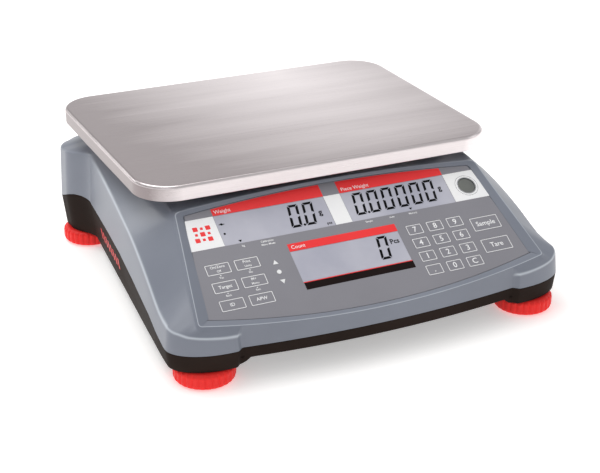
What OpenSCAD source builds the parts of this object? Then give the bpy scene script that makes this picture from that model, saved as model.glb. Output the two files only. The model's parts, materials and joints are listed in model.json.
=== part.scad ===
// Bench-top counting scale: stainless weighing pan over a wedge-shaped plastic housing, sloping
// control panel with three displays and a keypad, single-point load cell inside.
// Origin: centre of the footprint on the bench. +Z up, +Y to the back, the panel faces -Y.

/* [Pan] */
// Width of the weighing pan
pan_w = 300; // [280:1:310]
// Depth of the weighing pan
pan_d = 225; // [215:1:235]
// Height of the pan's top face above the bench
pan_top = 118.4; // [116:0.1:124]
// Height of the pan's folded skirt
pan_skirt = 12.2; // [10:0.1:14]
// Corner radius of the pan
pan_r = 30; // [15:1:40]
// Thickness of the pan's sheet
pan_t = 1.2; // [0.8:0.1:2]

/* [Housing] */
// Half width of the housing across its front corners
front_half_w = 164; // [158:0.5:170]
// Half width of the housing at its waist, just in front of the rear corners
waist_half_w = 144; // [138:0.5:150]
// Half width of the housing across its rear corners
rear_half_w = 156.5; // [150:0.5:160]
// Distance from the origin to the middle of the front wall
front_y = 162; // [158:0.5:166]
// Distance from the origin to the rear wall
rear_y = 160.5; // [155:0.5:161.5]
// Wall thickness of both housings
wall = 2.8; // [2:0.1:4]
// Height of the corners' lower edge above the bench
skirt_z = 13; // [12:0.5:14]
// Height of the front wall's lower edge above the bench
front_skirt_z = 18; // [16:0.5:18.5]
// Height of the flat deck under the pan
deck_z = 95; // [90:0.5:96]

/* [Control panel] */
// Slope of the control panel in degrees
slope = 31.5; // [30:0.5:33]
// Distance from the origin forward to the panel's reference line
panel_y = 142.9; // [140:0.1:146]
// Height of the panel's reference line
panel_z = 48.5; // [47:0.1:50]
// Height of the rim that frames the overlay
rim_h = 1.2; // [0.8:0.1:2]
// Thickness of the overlay film and its carrier
overlay_t = 0.8; // [0.5:0.1:1.2]
// How far a key travels when pressed
key_travel = 0.4; // [0.2:0.05:0.5]

/* [Feet] */
// Half the distance between the feet across the scale
foot_x = 135.5; // [130:0.5:138]
// Distance of the front feet forward of the origin
foot_front_y = 136.2; // [132:0.1:138]
// Distance of the rear feet behind the origin
foot_rear_y = 131.7; // [128:0.1:134]
// Radius of a foot's knurled wheel
foot_r = 22.95; // [20:0.05:24]
// Radius of a foot's threaded stud
stud_r = 5; // [4:0.1:6]

/* [Weighing cell] */
// Length of the load cell
cell_l = 130; // [120:1:140]
// Width of the load cell
cell_w = 34; // [30:1:40]
// Height of the load cell
cell_h = 22; // [20:1:25]
// How far the pan sinks before the overload stops meet
cell_travel = 0.5; // [0.3:0.05:0.6]

/* [Hidden] */
$fn = 48;

// Fits
slip = 0.05;
key_gap = 0.3;
bite = 0.5;

// Pan
pan_y = front_y - pan_d / 2;
pan_under = pan_top - pan_t;

// Plan of the housing
notch_x = 112;
notch_y = 154;
pod_front_y = 158;
pod_x = 121;
pod_y = 134;
pod_rx = front_half_w - pod_x;
pod_ry = pod_front_y - pod_y;
waist_y = 98;
side_bow = 1.25;
flare_y = 128;
rear_r = 22;
front_arc_r = (notch_x * notch_x + pow(front_y - notch_y, 2)) / (2 * (front_y - notch_y));

// Heights along the housing
part_front_z = 27;
part_pod_y = -130;
part_rear_z = 46;
part_mid_y = -95;
part_mid_z = 36;
floor_z = 19;
floor_t = 3;
floor_top = floor_z + floor_t;
crest_y = -58;
ridge_front_z = 46;
ridge_back_z = 87;
ridge_back_y = -34;
corner_rear_z = 80;

// Panel
overlay_lower_u = 135.2;
overlay_upper_u = 121.4;
overlay_bottom_v = -15.3;
overlay_bottom_k = 1 / 1194;
overlay_top_v = 97;
overlay_top_k = 1 / 2000;
panel_skin = 2.5;
board_w = -4.2;
board_t = 1.6;
dome_h = 0.3;
key_depth = 3.4;
key_w = 19;
key_h = 9.3;
digit_w = 13.2;
digit_h = 9;
wide_w = 24.5;
wide_h = 12.5;
left_u = [-112.5, -89.6];
left_v = [39.4, 23.8, 8.2];
digit_u = [50.7, 68.5, 86.2];
digit_v = [40.2, 27.7, 15.2, 2.5];
wide_u = 111.1;
wide_v = [33.8, 13.2];
// Display windows: centre across, centre up the slope, width, height
window_weight = [-55, 71.3, 90.8, 27.4];
window_piece = [50.2, 71.3, 91, 27.4];
window_count = [-9, 28.2, 90.6, 27.4];
lcd_gap = 0.2;
vial_u = 111.9;
vial_v = 71.1;
vial_r = 6.9;
cup_r = vial_r + 1.6;
vial_hole_r = 7.6;
vial_h = 8;
vial_sink = 5.2;
light_u = -68.7;
light_v = [18.8, 27.2, 35.6];
light_r = 2;

// Inside
frame_z = 26;
frame_t = 5;
frame_top = frame_z + frame_t;
frame_half_w = 58;
frame_y0 = -42;
frame_y1 = 140;
spacer_h = 4;
cell_z0 = frame_top + spacer_h;
cell_z1 = cell_z0 + cell_h;
cell_y0 = pan_y - cell_l / 2;
cell_y1 = pan_y + cell_l / 2;
cell_end = 30;
cell_hole_r = 9;
support_z0 = cell_z1 + spacer_h;
arm_z0 = 104;
arm_t = 6;
tip_z1 = 112;
tip_x = 110;
tip_y = 75;
column_w = 44;
column_d = 32;
column_y = cell_y1 - cell_end / 2;
stop_x = 30;
stop_r = 4;
screw_r = 2.9;
frame_boss_x = 50;
frame_boss_y = [-34, 132];
housing_boss = [[98, -138], [68, 146]];
housing_joint_z = [30, 46];
housing_screw_r = 1.8;
housing_screw_z = [38, 62];
boss_r = 4.5;
pocket_x0 = -74;
pocket_x1 = 118;
pocket_z0 = 23;
pocket_z1 = 44;
pocket_d = 6;
port_y = rear_y - pocket_d;
inlet_x = 92;
port_x = -40;
port_z = 33;
jack_half = 12.5;
lock_x = 32;
lock_y = -66;
board_z = 27;
main_board_posts = [[-78, -122], [4, -122], [-78, -88], [4, -88]];
power_board_posts = [[70, 14], [128, 14], [70, 114], [128, 114]];
board_standoffs = [[-76, 5], [104, 2], [-2.3, 71.3], [-100, 51], [75, 51]];
knob_z0 = 1;
knob_z1 = 12.6;
pad_h = 3;
insert_z0 = 17;
insert_z1 = 33;

function smooth(t) = let (c = min(max(t, 0), 1)) c * c * (3 - 2 * c);

// Half width of the housing at a distance y from the origin, inset by d
function side_x(y, d) = let (
        t = (y + pod_y) / (waist_y + pod_y),
        tapered = front_half_w + (waist_half_w - front_half_w) * pow(min(max(t, 0), 1), side_bow))
    tapered + (rear_half_w - waist_half_w) * smooth((y - waist_y) / (flare_y - waist_y)) - d;

// Right half of the housing's outline, inset by d, from the front centre round to the back
function half_outline(d) = concat(
    [for (x = [0 : 8 : notch_x]) [x, -front_y + d + x * x / (2 * front_arc_r)]],
    [[notch_x + 2 + d, -notch_y + d], [notch_x + 6 + d, -pod_front_y + d]],
    [for (a = [-90 : 9 : 0]) [pod_x + (pod_rx - d) * cos(a), -pod_y + (pod_ry - d) * sin(a)]],
    [for (y = [-pod_y + 35 : 45 : waist_y - 10]) [side_x(y, d), y]],
    [for (y = [waist_y : 5 : flare_y]) [side_x(y, d), y]],
    [for (a = [0 : 9 : 90]) [rear_half_w - rear_r + (rear_r - d) * cos(a),
        rear_y - rear_r + (rear_r - d) * sin(a)]]);

function mirrored(points) = [for (i = [len(points) - 1 : -1 : 0]) [-points[i][0], points[i][1]]];

function outline(d) = concat(half_outline(d), mirrored(half_outline(d)));

// Height of the housing's sloping face above a point y
function face_z(y, drop) = panel_z + tan(slope) * (y + panel_y) + (rim_h - drop) / cos(slope);

function overlay_points(g) = concat(
    [for (i = [-16 : 16]) let (u = i / 16 * (overlay_lower_u + g))
        [u, overlay_bottom_v - g + overlay_bottom_k * u * u]],
    [for (i = [16 : -1 : -16]) let (u = i / 16 * (overlay_upper_u + g))
        [u, overlay_top_v + g - overlay_top_k * u * u]]);

module on_panel(u = 0, v = 0, w = 0)
    translate([0, -panel_y, panel_z]) rotate([slope, 0, 0]) translate([u, v, w]) children();

module block(x0, x1, y0, y1, z0, z1)
    translate([x0, y0, z0]) cube([x1 - x0, y1 - y0, z1 - z0]);

module post(x, y, z0, z1, r)
    translate([x, y, z0]) cylinder(r = r, h = z1 - z0);

module tube(x, y, z0, z1, r_out, r_in)
    difference() {
        post(x, y, z0, z1, r_out);
        post(x, y, z0 - 1, z1 + 1, r_in);
    }

// A plate on the panel, centred on (u, v), from w0 to w1 above the overlay's face
module panel_plate(u, v, width, height, w0, w1)
    on_panel(u, v, w0) translate([-width / 2, -height / 2, 0]) cube([width, height, w1 - w0]);

module rounded_plate(width, depth, r, z0, z1)
    translate([0, pan_y, z0]) linear_extrude(z1 - z0) union() {
        square([width - 2 * r, depth], center = true);
        square([width, depth - 2 * r], center = true);
        for (x = [-1, 1]) for (y = [-1, 1])
            translate([x * (width / 2 - r), y * (depth / 2 - r)]) circle(r);
    }

module plan_solid(d, z0, z1)
    translate([0, 0, z0]) linear_extrude(z1 - z0) polygon(outline(d));

// Everything below the joint line between the two housings
module below_joint()
    rotate([90, 0, 90]) translate([0, 0, -200]) linear_extrude(400) polygon([[-200, 0],
        [-200, part_front_z], [part_pod_y, part_front_z], [part_mid_y, part_mid_z],
        [0, part_rear_z], [200, part_rear_z], [200, 0]]);

// The wedge that the upper housing is cut from: sloping face, shoulders and deck
module roof(inset, drop, deck_drop)
    hull() for (s = [-1, 1]) for (p = [
        [144, -front_y - 2, face_z(-front_y - 2, drop)],
        [144, crest_y - 76, face_z(crest_y - 76, drop)],
        [129, crest_y, min(face_z(crest_y, drop), deck_z + 5.5 - deck_drop)],
        [129, crest_y + 12, deck_z + 5.5 - deck_drop],
        [front_half_w + 2 - inset, -front_y - 2, 33 - deck_drop],
        [front_half_w + 1 - inset, part_pod_y, ridge_front_z - deck_drop],
        [front_half_w - 2 - inset, ridge_back_y, ridge_back_z - deck_drop],
        [front_half_w - 2 - inset, 60, ridge_back_z - deck_drop],
        [rear_half_w + 2 - inset, rear_y + 1, corner_rear_z - deck_drop],
        [126, rear_y + 1, deck_z - 5 - deck_drop],
        [128, 100, deck_z - deck_drop],
        [front_half_w + 2 - inset, -front_y - 2, 20],
        [front_half_w + 2 - inset, rear_y + 1, 20]])
        translate([s * p[0], p[1], p[2]]) cube(0.01, center = true);

// ---------------------------------------------------------------- pan and weighing cell

module weighing_pan() color("gainsboro") difference() {
    rounded_plate(pan_w, pan_d, pan_r, pan_top - pan_skirt, pan_top);
    rounded_plate(pan_w - 2 * pan_t, pan_d - 2 * pan_t, pan_r - pan_t, pan_top - pan_skirt - 1,
        pan_under);
}

module at_tips() for (x = [-1, 1]) for (y = [-1, 1]) translate([x * tip_x, pan_y + y * tip_y, 0])
    children();

module pan_cushions() color("dimgray") at_tips() post(0, 0, tip_z1, pan_under, 9);

module pan_support() color("silver") difference() {
    union() {
        for (s = [-1, 1]) translate([0, pan_y, arm_z0]) rotate([0, 0, s * atan2(tip_y, tip_x)])
            translate([-132, -11, 0]) cube([264, 22, arm_t]);
        block(-34, 34, pan_y - 38, column_y + column_d / 2, arm_z0, arm_z0 + arm_t);
        at_tips() post(0, 0, arm_z0, tip_z1, 12);
        around_column(0, support_z0, arm_z0 + bite);
    }
    for (x = [-10, 10]) {
        post(x, column_y, support_z0 - 1, arm_z0 + arm_t + 1, screw_r + 0.4);
        post(x, column_y, support_z0 + 8, arm_z0 + arm_t + 1, 6);
    }
}

module cell_upper_spacer() color("lightgray") difference() {
    block(-38, 38, cell_y1 - cell_end, cell_y1, cell_z1, support_z0);
    for (x = [-10, 10]) post(x, column_y, cell_z1 - 1, support_z0 + 1, screw_r + 0.4);
}

// A binocular bending beam: two big holes joined by a slot leave four thin flexures
module load_cell() color("silver") difference() {
    block(-cell_w / 2, cell_w / 2, cell_y0, cell_y1, cell_z0, cell_z1);
    for (s = [-1, 1]) translate([0, pan_y + s * 18, (cell_z0 + cell_z1) / 2]) rotate([0, 90, 0])
        translate([0, 0, -cell_w]) cylinder(r = cell_hole_r, h = 2 * cell_w);
    block(-cell_w, cell_w, pan_y - 18, pan_y + 18, cell_z0 + 8, cell_z1 - 8);
    for (x = [-10, 10]) {
        post(x, column_y, cell_z1 - 14, cell_z1 + 1, screw_r + slip);
        post(x, cell_y0 + cell_end / 2, cell_z0 - 1, cell_z0 + 14, screw_r + slip);
    }
}

module cell_lower_spacer() color("lightgray") difference() {
    block(-cell_w / 2, cell_w / 2, cell_y0, cell_y0 + cell_end, frame_top, cell_z0);
    for (x = [-10, 10]) post(x, cell_y0 + cell_end / 2, frame_top - 1, cell_z0 + 1, screw_r + 0.4);
}

module cell_upper_screws() color("dimgray") for (x = [-10, 10]) {
    post(x, column_y, cell_z1 - 12, support_z0 + 8 + bite, screw_r);
    post(x, column_y, support_z0 + 8, support_z0 + 13, 5);
}

module cell_lower_screws() color("dimgray") for (x = [-10, 10]) {
    post(x, cell_y0 + cell_end / 2, frame_z - bite, cell_z0 + 12, screw_r);
    post(x, cell_y0 + cell_end / 2, frame_z - 3, frame_z, 5);
}

module overload_stops() color("dimgray") for (x = [-stop_x, stop_x])
    post(x, column_y, frame_top, cell_z1 - cell_travel - 0.05, stop_r);

module at_frame_bosses() for (x = [-1, 1]) for (y = frame_boss_y)
    translate([x * frame_boss_x, y, 0]) children();

// Ribbed casting: the floor plate stands on four bosses of the lower housing
module base_frame() color("silver") difference() {
    union() {
        block(-frame_half_w, frame_half_w, frame_y0, frame_y1, frame_z, frame_top);
        for (s = [-1, 1]) block(s * 52 - 2, s * 52 + 2, frame_y0 + 14, frame_y1 - 14,
            frame_top - bite, frame_top + 10);
        for (y = [frame_y0 + 14, frame_y1 - 18]) block(-52, 52, y, y + 4, frame_top - bite,
            frame_top + 10);
    }
    at_frame_bosses() post(0, 0, frame_z - 1, frame_top + 1, 2.4);
    for (x = [-10, 10]) post(x, cell_y0 + cell_end / 2, frame_z - 1, frame_top + 1, screw_r + 0.4);
    block(-30, 30, pan_y - 34, pan_y + 24, frame_z - 1, frame_top + 1);
}

module base_frame_screws() color("darkgray") at_frame_bosses() {
    post(0, 0, frame_top, frame_top + 2.6, 4);
    post(0, 0, floor_z + 2, frame_top + bite, 2);
}

// ---------------------------------------------------------------- housings

module at_housing_bosses(i) for (x = [-1, 1])
    translate([x * housing_boss[i][0], housing_boss[i][1], 0]) children();

module panel_holes() {
    for (w = [window_weight, window_piece, window_count])
        panel_plate(w[0], w[1], w[2] + 0.6, w[3] + 0.6, -8, 2);
    for (u = left_u) for (v = left_v)
        panel_plate(u, v, key_w + 2 * key_gap, key_h + 2 * key_gap, -8, 2);
    for (u = digit_u) for (v = digit_v)
        panel_plate(u, v, digit_w + 2 * key_gap, digit_h + 2 * key_gap, -8, 2);
    for (v = wide_v)
        panel_plate(wide_u, v, wide_w + 2 * key_gap, wide_h + 2 * key_gap, -8, 2);
    for (v = light_v) on_panel(light_u, v, -8) cylinder(r = light_r + 0.1, h = 10);
    on_panel(vial_u, vial_v, -8) cylinder(r = vial_hole_r, h = 10);
}

module upper_housing() color("slategray") difference() {
    union() {
        difference() {
            intersection() {
                plan_solid(0, 20, 110);
                roof(0, 0, 0);
            }
            intersection() {
                plan_solid(wall, 10, 110);
                roof(wall, rim_h + overlay_t + panel_skin, wall);
            }
        }
        intersection() {
            for (i = [0, 1]) at_housing_bosses(i) post(0, 0, 30, 100, boss_r);
            roof(1, 2, 1);
        }
    }
    below_joint();
    at_housing_bosses(0) post(0, 0, 20, 40, housing_screw_r + slip);
    at_housing_bosses(1) post(0, 0, 20, 64, housing_screw_r + slip);
    at_housing_bosses(1) post(0, 0, 10, part_rear_z + slip, 6);
    // room for the level vial and its cup, which stand upright behind the sloping panel
    level_place() level_shift() {
        translate([0, 0, -20]) cylinder(r = cup_r + 0.4, h = 13.4);
        translate([0, 0, -20]) cylinder(r = vial_r + 0.4, h = 15.4);
    }
    on_panel(0, 0, -overlay_t) linear_extrude(12) polygon(overlay_points(0.15));
    panel_holes();
    around_column(3, 60, 120);
}

module foot_places() for (x = [-1, 1]) for (y = [-foot_front_y, foot_rear_y])
    translate([x * foot_x, y, 0]) children();

module lower_housing() color("#2d2320") difference() {
    union() {
        difference() {
            intersection() {
                plan_solid(0, skirt_z, 60);
                below_joint();
            }
            plan_solid(wall, floor_top, 70);
            plan_solid(wall, 0, floor_z);
        }
        foot_places() post(0, 0, insert_z0 - 1, insert_z1, 10);
        at_frame_bosses() post(0, 0, floor_z, frame_z, 6);
        for (p = concat(main_board_posts, power_board_posts))
            post(p[0], p[1], floor_z + 1, board_z, 3);
        for (i = [0, 1]) at_housing_bosses(i)
            post(0, 0, floor_z, housing_joint_z[i] - i * slip, boss_r);
        block(pocket_x0 - wall, pocket_x1 + wall, port_y - wall, rear_y - 1, floor_z,
            pocket_z1 + 1.5);
    }
    // front wall's raised lower edge, with a slanted step beside each corner
    translate([0, -120, 0]) rotate([90, 0, 0]) linear_extrude(60)
        polygon([[-113, 0], [-113, skirt_z], [-106, front_skirt_z], [106, front_skirt_z],
            [113, skirt_z], [113, 0]]);
    foot_places() post(0, 0, 10, 40, 7);
    at_frame_bosses() post(0, 0, floor_z + 1, frame_z + 1, 2 + slip);
    for (i = [0, 1]) at_housing_bosses(i) post(0, 0, 10, 60, housing_screw_r + 0.3);
    // rear pocket and the cut-outs for the two connectors
    block(pocket_x0, pocket_x1, port_y, rear_y + 5, pocket_z0, pocket_z1);
    block(inlet_x - 13.6, inlet_x + 13.6, port_y - 8, port_y + 1, port_z - 9.9, port_z + 9.9);
    block(port_x - 9.6, port_x + 9.6, port_y - 8, port_y + 1, port_z - 5.6, port_z + 5.6);
    for (s = [-1, 1]) translate([port_x + s * jack_half, port_y + 1, port_z]) rotate([90, 0, 0])
        cylinder(r = 1.7, h = 8);
    // transport lock's bush
    post(lock_x, lock_y, 10, 30, 6.05);
}

module housing_screws() color("darkgray") for (i = [0, 1]) at_housing_bosses(i) {
    post(0, 0, floor_z - 2.4, floor_z, 3.6);
    post(0, 0, floor_z - bite, housing_screw_z[i], housing_screw_r);
}

// A block that stands d beyond the cell's column on all four sides
module around_column(d, z0, z1)
    block(-column_w / 2 - d, column_w / 2 + d, column_y - column_d / 2 - d,
        column_y + column_d / 2 + d, z0, z1);

module dust_collar() color("#202020") difference() {
    union() {
        around_column(6, deck_z + 0.9, deck_z + 2.9);
        around_column(2.8, deck_z - 6, deck_z + 1.4);
    }
    around_column(1.5, deck_z - 8, deck_z + 5);
}

// ---------------------------------------------------------------- control panel

module control_overlay() color("gray") difference() {
    on_panel(0, 0, -overlay_t) linear_extrude(overlay_t) polygon(overlay_points(0));
    panel_holes();
}

module level_place() {
    y = -panel_y + vial_v * cos(slope);
    z = panel_z + vial_v * sin(slope);
    translate([vial_u, y, z]) children();
}

// The vial stands a little behind the middle of its hole, so that the hole's lower edge clears it
module level_shift() translate([0, 1.5, 0]) children();

// The vial lies level behind the sloping panel, so it is upright and sunk below the hole
module level_vial() color("#5c6a60") level_place()
    level_shift() translate([0, 0, -vial_sink - vial_h]) rotate_extrude()
        polygon(concat([[0, 0], [vial_r, 0]],
            [for (a = [0 : 10 : 90]) [vial_r * cos(a), vial_h - 1.6 + 1.6 * sin(a)]]));

module level_cup() color("#303030") level_place() level_shift() difference() {
    translate([0, 0, -vial_sink - vial_h - 2]) cylinder(r = cup_r, h = vial_h + 0.2);
    translate([0, 0, -vial_sink - vial_h]) cylinder(r = vial_r, h = 20);
}

module lcd(window) color("lightsteelblue")
    panel_plate(window[0], window[1], window[2] - 2 * lcd_gap + 0.6, window[3] - 2 * lcd_gap + 0.6,
        board_w, -0.15);

module lcd_weight() lcd(window_weight);
module lcd_piece_weight() lcd(window_piece);
module lcd_count() lcd(window_count);

module check_lights() color("white") for (v = light_v)
    on_panel(light_u, v, board_w) cylinder(r = light_r, h = -board_w - 0.05);

module dome(u, v) on_panel(u, v, board_w - bite) cylinder(r = 3, h = dome_h + bite);

module display_board() color("darkgreen") difference() {
    union() {
        panel_plate(0, 44, 236, 88, board_w - board_t, board_w);
        for (u = left_u) for (v = left_v) dome(u, v);
        for (u = digit_u) for (v = digit_v) dome(u, v);
        for (v = wide_v) dome(wide_u, v);
        for (p = board_standoffs) on_panel(p[0], p[1], board_w - bite)
            cylinder(r = 3, h = bite - board_w - overlay_t - panel_skin);
        panel_plate(-40, 44, 60, 18, board_w - 7, board_w - board_t + bite);
    }
    level_place() level_shift() translate([0, 0, -40]) cylinder(r = cup_r + 0.6, h = 60);
    at_housing_bosses(0) post(0, 0, 20, 90, boss_r + 1);
}

module key(u, v, width, height) color("gray")
    panel_plate(u, v, width, height, -key_depth, 0);

module key_on_zero() key(left_u[0], left_v[0], key_w, key_h);
module key_print() key(left_u[1], left_v[0], key_w, key_h);
module key_target() key(left_u[0], left_v[1], key_w, key_h);
module key_memory() key(left_u[1], left_v[1], key_w, key_h);
module key_id() key(left_u[0], left_v[2], key_w, key_h);
module key_unit_weight() key(left_u[1], left_v[2], key_w, key_h);
module key_7() key(digit_u[0], digit_v[0], digit_w, digit_h);
module key_8() key(digit_u[1], digit_v[0], digit_w, digit_h);
module key_9() key(digit_u[2], digit_v[0], digit_w, digit_h);
module key_4() key(digit_u[0], digit_v[1], digit_w, digit_h);
module key_5() key(digit_u[1], digit_v[1], digit_w, digit_h);
module key_6() key(digit_u[2], digit_v[1], digit_w, digit_h);
module key_1() key(digit_u[0], digit_v[2], digit_w, digit_h);
module key_2() key(digit_u[1], digit_v[2], digit_w, digit_h);
module key_3() key(digit_u[2], digit_v[2], digit_w, digit_h);
module key_point() key(digit_u[0], digit_v[3], digit_w, digit_h);
module key_0() key(digit_u[1], digit_v[3], digit_w, digit_h);
module key_clear() key(digit_u[2], digit_v[3], digit_w, digit_h);
module key_sample() key(wide_u, wide_v[0], wide_w, wide_h);
module key_tare() key(wide_u, wide_v[1], wide_w, wide_h);

// ---------------------------------------------------------------- electronics

module main_board() color("darkgreen") {
    block(-84, 10, -128, -74, board_z, board_z + board_t);
    block(-60, -40, -112, -92, board_z + 1, board_z + 4);
    block(-30, -18, -122, -106, board_z + 1, board_z + 7);
    for (x = [-78, -66, -14, 0]) post(x, -80, board_z + 1, board_z + 11, 3.4);
}

module power_board() color("darkgreen") {
    block(66, 132, 10, 118, board_z, board_z + board_t);
    block(76, 112, 20, 56, board_z + 1, board_z + 31);
    for (y = [70, 86, 102]) post(120, y, board_z + 1, board_z + 23, 6);
    block(72, 92, 82, 110, board_z + 1, board_z + 17);
}

module battery() color("#3a3f47") {
    block(-134, -64, 0, 101, floor_top, floor_top + 45);
    for (x = [-122, -76]) block(x - 3, x + 3, -3, 0.5, floor_top + 34, floor_top + 42);
}

module battery_bracket() color("silver") {
    block(-136.5, -134.2, 40, 62, floor_top, floor_top + 47.5);
    block(-63.8, -61.5, 40, 62, floor_top, floor_top + 47.5);
    block(-136.5, -61.5, 40, 62, floor_top + 45.2, floor_top + 47.5);
}

module power_inlet() color("#151515") difference() {
    union() {
        block(inlet_x - 15, inlet_x + 15, port_y, port_y + 2, port_z - 9.9, port_z + 10.8);
        block(inlet_x - 13.5, inlet_x + 13.5, port_y - 22, port_y + 1, port_z - 9.8, port_z + 9.8);
    }
    difference() {
        block(inlet_x - 12, inlet_x + 12, port_y - 16, port_y + 3, port_z - 8, port_z + 8);
        for (x = [-7, 0, 7]) block(inlet_x + x - 1, inlet_x + x + 1, port_y - 17, port_y - 1,
            port_z - 2 + (x == 0 ? -2 : 2), port_z + 2 + (x == 0 ? -2 : 2));
    }
}

module serial_port() color("silver") difference() {
    union() {
        block(port_x - 15.4, port_x + 15.4, port_y, port_y + 1, port_z - 6.2, port_z + 6.2);
        block(port_x - 9.4, port_x + 9.4, port_y - 10, port_y + bite, port_z - 5.4, port_z + 5.4);
        block(port_x - 9, port_x + 9, port_y + bite, port_y + 6, port_z - 4.6, port_z + 4.6);
    }
    block(port_x - 8.2, port_x + 8.2, port_y - 1, port_y + 7, port_z - 3.8, port_z + 3.8);
    for (s = [-1, 1]) translate([port_x + s * jack_half, port_y + 2, port_z]) rotate([90, 0, 0])
        cylinder(r = 1.6, h = 4);
}

module serial_jack_screws() color("lightgray") for (s = [-1, 1])
    translate([port_x + s * jack_half, port_y, port_z]) rotate([-90, 0, 0]) difference() {
        union() {
            translate([0, 0, 1]) cylinder(r = 2.8, h = 4.8, $fn = 6);
            translate([0, 0, -6]) cylinder(r = 1.5, h = 7.2);
        }
        translate([0, 0, 1.8]) cylinder(r = 1.42, h = 5);
    }

// ---------------------------------------------------------------- feet

module foot_inserts() color("goldenrod") foot_places()
    tube(0, 0, insert_z0, insert_z1, 7, stud_r + slip);

// Grooved wheel with its threaded stud, hollow below for the swivelling pad
module foot_knob(x, y) color("crimson") translate([x, y, 0]) difference() {
    union() {
        post(0, 0, knob_z0, knob_z1, foot_r);
        post(0, 0, knob_z1 - bite, insert_z1 - 1, stud_r);
    }
    post(0, 0, 0, pad_h + 0.3, 18.3);
    post(0, 0, 0, 9, 3.05);
}

module foot_pad(x, y) color("#202020") translate([x, y, 0]) union() {
    post(0, 0, 0, pad_h, 18);
    post(0, 0, pad_h - bite, 8.6, 3);
}

module foot_knob_front_left() foot_knob(-foot_x, -foot_front_y);
module foot_knob_front_right() foot_knob(foot_x, -foot_front_y);
module foot_knob_rear_left() foot_knob(-foot_x, foot_rear_y);
module foot_knob_rear_right() foot_knob(foot_x, foot_rear_y);
module foot_pad_front_left() foot_pad(-foot_x, -foot_front_y);
module foot_pad_front_right() foot_pad(foot_x, -foot_front_y);
module foot_pad_rear_left() foot_pad(-foot_x, foot_rear_y);
module foot_pad_rear_right() foot_pad(foot_x, foot_rear_y);

// Quarter-turn shipping lock on the underside, with a finger bar
module transport_lock() color("crimson") union() {
    post(lock_x, lock_y, 16, floor_z - 0.2, 11);
    block(lock_x - 1.5, lock_x + 1.5, lock_y - 10, lock_y + 10, 13.5, 16.5);
    post(lock_x, lock_y, floor_z - 1, 24, 6);
}

weighing_pan();
pan_cushions();
pan_support();
cell_upper_spacer();
load_cell();
cell_lower_spacer();
cell_upper_screws();
cell_lower_screws();
overload_stops();
base_frame();
base_frame_screws();
upper_housing();
lower_housing();
housing_screws();
dust_collar();
control_overlay();
level_vial();
level_cup();
lcd_weight();
lcd_piece_weight();
lcd_count();
check_lights();
display_board();
main_board();
power_board();
battery();
battery_bracket();
power_inlet();
serial_port();
serial_jack_screws();
foot_inserts();
foot_knob_front_left();
foot_knob_front_right();
foot_knob_rear_left();
foot_knob_rear_right();
foot_pad_front_left();
foot_pad_front_right();
foot_pad_rear_left();
foot_pad_rear_right();
key_on_zero();
key_print();
key_target();
key_memory();
key_id();
key_unit_weight();
key_7();
key_8();
key_9();
key_4();
key_5();
key_6();
key_1();
key_2();
key_3();
key_point();
key_0();
key_clear();
key_sample();
key_tare();
transport_lock();
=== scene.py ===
"""Bench-top counting scale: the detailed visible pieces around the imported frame.

Lengths in this file are millimetres until a mesh is made, and metres in Blender. The shapes are
surfaces of two parameters: a row of control points is placed for every step along an outline, its
corners are rounded, and the rows are joined into a grid.
"""

import json
import math

import bmesh
import bpy
import numpy as np
from mathutils import Matrix, Vector


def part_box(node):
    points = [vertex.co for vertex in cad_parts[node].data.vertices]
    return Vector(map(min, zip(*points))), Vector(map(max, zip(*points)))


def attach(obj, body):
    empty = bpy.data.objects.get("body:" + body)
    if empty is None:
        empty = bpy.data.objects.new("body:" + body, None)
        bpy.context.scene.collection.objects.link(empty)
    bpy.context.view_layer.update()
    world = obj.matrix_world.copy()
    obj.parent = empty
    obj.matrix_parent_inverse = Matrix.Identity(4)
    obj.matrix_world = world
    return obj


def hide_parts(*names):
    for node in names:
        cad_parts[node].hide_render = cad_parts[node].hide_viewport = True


bl_info = {
    "name": "Counting Scale",
    "version": (1, 0, 0),
    "blender": (4, 5, 0),
    "location": "View3D > Sidebar > Scale",
    "description": "Builds the visible pieces of a bench-top counting scale around its frame",
    "category": "Add Mesh",
}

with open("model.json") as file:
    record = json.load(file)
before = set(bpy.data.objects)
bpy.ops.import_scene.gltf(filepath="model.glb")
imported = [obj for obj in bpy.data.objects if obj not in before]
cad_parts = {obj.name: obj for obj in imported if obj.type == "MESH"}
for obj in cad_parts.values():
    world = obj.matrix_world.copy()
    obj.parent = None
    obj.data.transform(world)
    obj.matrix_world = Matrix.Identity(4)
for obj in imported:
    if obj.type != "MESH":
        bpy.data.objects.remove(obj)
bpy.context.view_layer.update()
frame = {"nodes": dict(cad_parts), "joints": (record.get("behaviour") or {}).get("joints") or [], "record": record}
MM = 0.001


def box_mm(node):
    """Lowest and highest corner of a frame node, in millimetres."""
    low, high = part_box(node)
    return np.array(low) / MM, np.array(high) / MM


# ------------------------------------------------------------------ sizes
PAN_LOW, PAN_HIGH = box_mm("weighing_pan")
UPPER_LOW, UPPER_HIGH = box_mm("upper_housing")
OVERLAY_LOW, OVERLAY_HIGH = box_mm("control_overlay")
PAN_CORNER, PAN_SHEET = 30.0, 1.2

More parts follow.
